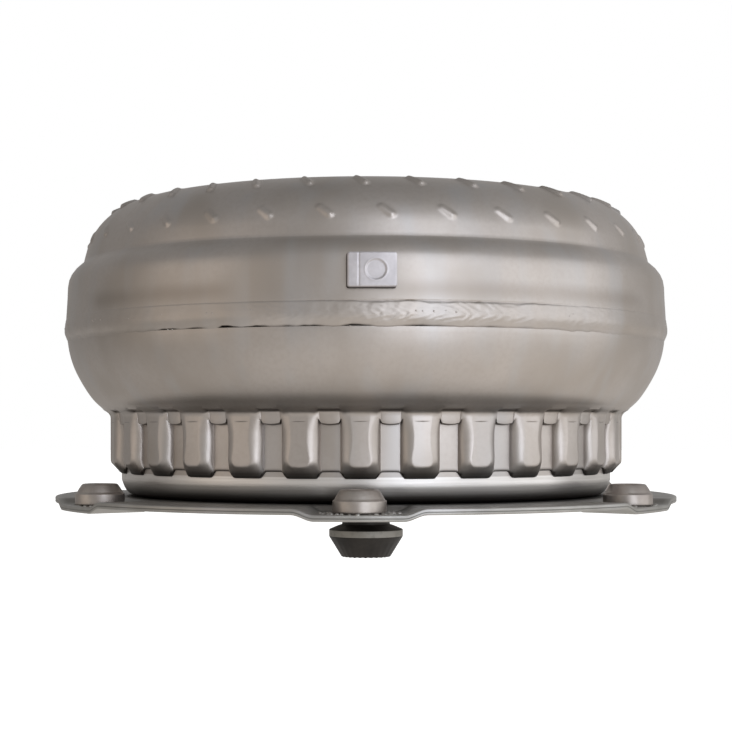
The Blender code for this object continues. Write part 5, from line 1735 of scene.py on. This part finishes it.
@dataclass
class SplinedSleeve:
    """A steel sleeve with an involute-like spline in its bore. Sizes are in mm.

    Attributes:
        node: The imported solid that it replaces.
        name: The piece's name.
        body: The body that it rides on.
        slot: The record's material slot.
        teeth: Number of spline teeth.
        bore: Radius at the bottom of the spline.
        depth: Depth of the spline.
        outline: Outer side, from the bottom of the bore to its top.
    """

    node: str
    name: str
    body: str
    slot: str
    teeth: int
    bore: float
    depth: float
    outline: Outline

    def build(self, pattern: bpy.types.NodeTree, look: bpy.types.Material) -> bpy.types.Object:
        """Repeats one tooth's share of the sleeve.

        Args:
            pattern: The tree that repeats a share round the axis.
            look: The piece's material.

        Returns:
            The finished piece.
        """
        bottom, top = self.outline[0][1], self.outline[-1][1]
        stations = np.array([0.0, 0.2, 0.3, 0.5, 0.7, 0.8, 1.0])
        toothed = np.array([0.0, 0.0, 1.0, 1.0, 1.0, 0.0, 0.0])
        angle = FRONT + stations[None, :] * math.tau / self.teeth
        side = softened(self.outline, 0.4)
        rows = [ring_points(radius, angle[0], z) for radius, z in side]
        inner = [(0.9, top), (0.0, top - 0.9), (0.0, bottom + 0.9), (0.9, bottom)]
        for relief, z in inner:
            tooth = self.depth * toothed * (relief == 0.0)
            rows.append(ring_points(self.bore + relief - tooth, angle[0], z))
        rows.append(rows[0])
        piece = linked(self.name, grid_mesh(self.name, np.array(rows)))
        grow(piece, pattern, {"Count": self.teeth, "Merge Distance": MERGE_DISTANCE, "Material": look},
             sharp=32.0)
        return dressed(piece, look, self.body, [self.node])


# The stage


@dataclass
class Studio:
    """A pale floor under a soft sky, with soft panels in front, to both sides and overhead.

    Attributes:
        distance: From the axis to the camera, in metres.
        height: Of the camera over the pilot's tip, in metres.
        turn: How far the camera stands to the right of the front pad, in degrees.
        lens: Focal length, in mm.
        shift: Upward shift of the picture.
        floor_level: Of the floor under the pilot's tip, in metres.
    """

    distance: float = 0.733
    height: float = 0.0584
    turn: float = 1.09
    lens: float = 78.7
    shift: float = 0.086
    floor_level: float = -0.35

    def camera(self) -> None:
        """Stands the camera level, in front of the object."""
        data = bpy.data.cameras.new("camera")
        data.lens, data.shift_y, data.sensor_width = self.lens, self.shift, 36.0
        data.clip_start = 0.05
        made = bpy.data.objects.new("camera", data)
        turn = math.radians(self.turn)
        made.location = (self.distance * math.sin(turn), -self.distance * math.cos(turn), self.height)
        made.rotation_euler = (math.radians(90.0), 0.0, turn)
        bpy.context.scene.collection.objects.link(made)
        bpy.context.scene.camera = made

    def light(self, name: str, place: tuple[float, float, float], size: tuple[float, float],
              power: float, colour: str) -> None:
        """Adds one soft panel that faces the object.

        Args:
            name: The light's name.
            place: Azimuth from the front and elevation, in degrees, and distance in metres.
            size: Width and height, in metres.
            power: In watts.
            colour: As sRGB hex.
        """
        data = bpy.data.lights.new(name, "AREA")
        data.shape, data.size, data.size_y = "RECTANGLE", size[0], size[1]
        data.energy, data.color = power, linear(colour)[:3]
        made = bpy.data.objects.new(name, data)
        azimuth, elevation = math.radians(place[0]), math.radians(place[1])
        away = Vector((math.sin(azimuth) * math.cos(elevation), -math.cos(azimuth) * math.cos(elevation),
                       math.sin(elevation)))
        made.location = away * place[2] + Vector((0, 0, 0.09))
        made.rotation_euler = away.to_track_quat("Z", "Y").to_euler()
        bpy.context.scene.collection.objects.link(made)

    def sky(self) -> None:
        """A sky that is brightest below and to the right, and dim overhead.

        What the camera sees directly is plain white.
        """
        world = bpy.data.worlds.new("studio")
        world.use_nodes = True
        tree = world.node_tree
        tree.nodes.clear()
        way = add_node(tree, "ShaderNodeTexCoord").outputs["Generated"]
        parts = add_node(tree, "ShaderNodeSeparateXYZ", inputs={0: way}).outputs
        level = add_node(tree, "ShaderNodeMapRange", inputs={
            0: parts[2], 1: -1.0, 2: 1.0, 3: 0.0, 4: 1.0})
        ramp = add_node(tree, "ShaderNodeValToRGB", inputs={0: level.outputs[0]})
        stops = [(0.0, "E6E2DE"), (0.15, "E8E4E0"), (0.35, "CECBC8"), (0.5, "B4B2B0"), (0.8, "B4B3B3"),
                 (0.93, "A2A2A2"), (0.98, "767676"), (1.0, "707070")]
        elements = ramp.color_ramp.elements
        for place, _ in stops[2:]:
            elements.new(place)
        for element, (place, colour) in zip(elements, stops):
            element.position, element.color = place, linear(colour)
        side = add_node(tree, "ShaderNodeMapRange", inputs={
            0: parts[0], 1: -1.0, 2: 1.0, 3: 0.93, 4: 1.8})
        near = add_node(tree, "ShaderNodeMapRange", inputs={
            0: parts[1], 1: -1.0, 2: 1.0, 3: 1.0, 4: 0.76})
        strength = add_node(tree, "ShaderNodeMath", MULTIPLY, {0: side.outputs[0], 1: near.outputs[0]})
        lit = add_node(tree, "ShaderNodeBackground", inputs={
            "Color": ramp.outputs[0], "Strength": strength.outputs[0]})
        seen = add_node(tree, "ShaderNodeBackground", inputs={
            "Color": (1.0, 1.0, 1.0, 1.0), "Strength": 1.0})
        eye = add_node(tree, "ShaderNodeLightPath").outputs["Is Camera Ray"]
        mixed = add_node(tree, "ShaderNodeMixShader", inputs={
            0: eye, 1: lit.outputs[0], 2: seen.outputs[0]})
        add_node(tree, "ShaderNodeOutputWorld", inputs={"Surface": mixed.outputs[0]})
        bpy.context.scene.world = world

    def floor(self) -> None:
        """A wide matt floor that doesn't throw its light back onto the object."""
        mesh = bpy.data.meshes.new("floor")
        reach = 30.0
        mesh.from_pydata([(-reach, -reach, self.floor_level), (reach, -reach, self.floor_level),
                          (reach, reach, self.floor_level), (-reach, reach, self.floor_level)],
                         [], [(0, 1, 2, 3)])
        floor = linked("floor", mesh)
        paint = bpy.data.materials.new("white_floor_paint")
        paint.use_nodes = True
        shader = paint.node_tree.nodes["Principled BSDF"]
        shader.inputs["Base Color"].default_value = linear("F6F6F5")
        shader.inputs["Roughness"].default_value = 0.9
        shader.inputs["Specular IOR Level"].default_value = 0.0
        shader.inputs["Emission Color"].default_value = (1.0, 1.0, 1.0, 1.0)
        shader.inputs["Emission Strength"].default_value = 0.8
        mesh.materials.append(paint)
        floor.visible_diffuse = False
        floor.visible_glossy = False

    def build(self) -> None:
        """Sets up camera, lights, sky and floor."""
        bpy.context.scene.view_settings.view_transform = "Standard"
        self.camera()
        self.light("key_panel", (23.0, 12.0, 1.6), (0.8, 1.8), 11.2, "E9F1FF")
        self.light("right_panel", (72.0, 10.0, 1.8), (1.7, 1.4), 8.0, "F4F8FF")
        self.light("left_panel", (-62.0, 8.0, 1.9), (1.5, 1.4), 3.7, "FFEEDD")
        self.light("top_panel", (10.0, 78.0, 1.8), (1.4, 1.4), 1.0, "FFFFFF")
        self.sky()
        self.floor()


def dress_solids(looks: Mapping[str, bpy.types.Material]) -> None:
    """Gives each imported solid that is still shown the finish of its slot.

    Args:
        looks: Materials by slot.
    """
    slots = {part["node"]: part["material_slot"] for part in frame["record"]["subparts"]}
    for name, node in frame["nodes"].items():
        if node.hide_render:
            continue
        if not node.material_slots:
            node.data.materials.append(None)
        for place in node.material_slots:
            place.material = looks[slots[name]]
        LOG.info("%s: packed solid with the finish of %s", name, slots[name])


def splined_sleeves() -> list[SplinedSleeve]:
    """Sets up the turbine hub and the one-way clutch's inner race, with levels from the solids.

    Returns:
        The two sleeves.
    """
    low, high = (corner.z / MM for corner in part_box("turbine_hub"))
    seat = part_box("damper_flange")[0].z / MM - 0.3
    flange_low = high - 6.7
    hub = [(15.1, low), (28.0, low), (28.0, low + 4.0), (21.0, low + 4.0), (21.0, seat - 4.0),
           (28.0, seat - 4.0), (28.0, seat), (21.0, seat), (21.0, flange_low), (43.7, flange_low),
           (43.7, high), (15.1, high)]
    race_low, race_high = (corner.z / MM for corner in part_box("one_way_inner_race"))
    race = [(18.5, race_low), (27.0, race_low), (27.0, race_high), (18.5, race_high)]
    return [
        SplinedSleeve("turbine_hub", "turbine_hub_sleeve", "turbine", "machined_steel",
                      teeth=24, bore=14.2, depth=1.2, outline=hub),
        SplinedSleeve("one_way_inner_race", "one_way_inner_race_ring", "inner_race", "hardened_steel",
                      teeth=32, bore=17.6, depth=1.2, outline=race),
    ]


def main() -> None:
    """Builds the stage, the finishes and each sub-assembly in order."""
    logging.basicConfig(level=logging.INFO, format="%(name)s: %(message)s")
    Studio().build()
    looks = {slot: finish.build() for slot, finish in SLOT_FINISHES.items()}
    casing = looks["casing_steel"]
    pattern, bead, spatter = rotary_tree(), bead_tree(), spatter_tree()
    FrontCover().build(pattern, casing)
    ImpellerShell().build(pattern, casing)
    weld = SeamWeld()
    weld.build(bead, casing)
    weld.spatter(spatter, casing)
    sheet = SHEET.build()
    DrivePlate().build(pattern, sheet)
    nuts = WeldNuts()
    nuts.build(pattern, NUT.build())
    nuts.spatter(spatter, sheet)
    Pilot().build(pattern, looks["black_steel"])
    BalanceWeight().build(PLATED.build())
    ImpellerHub().build(looks["machined_steel"])
    for sleeve in splined_sleeves():
        sleeve.build(pattern, looks[sleeve.slot])
    dress_solids(looks)


if __name__ == "__main__":
    main()
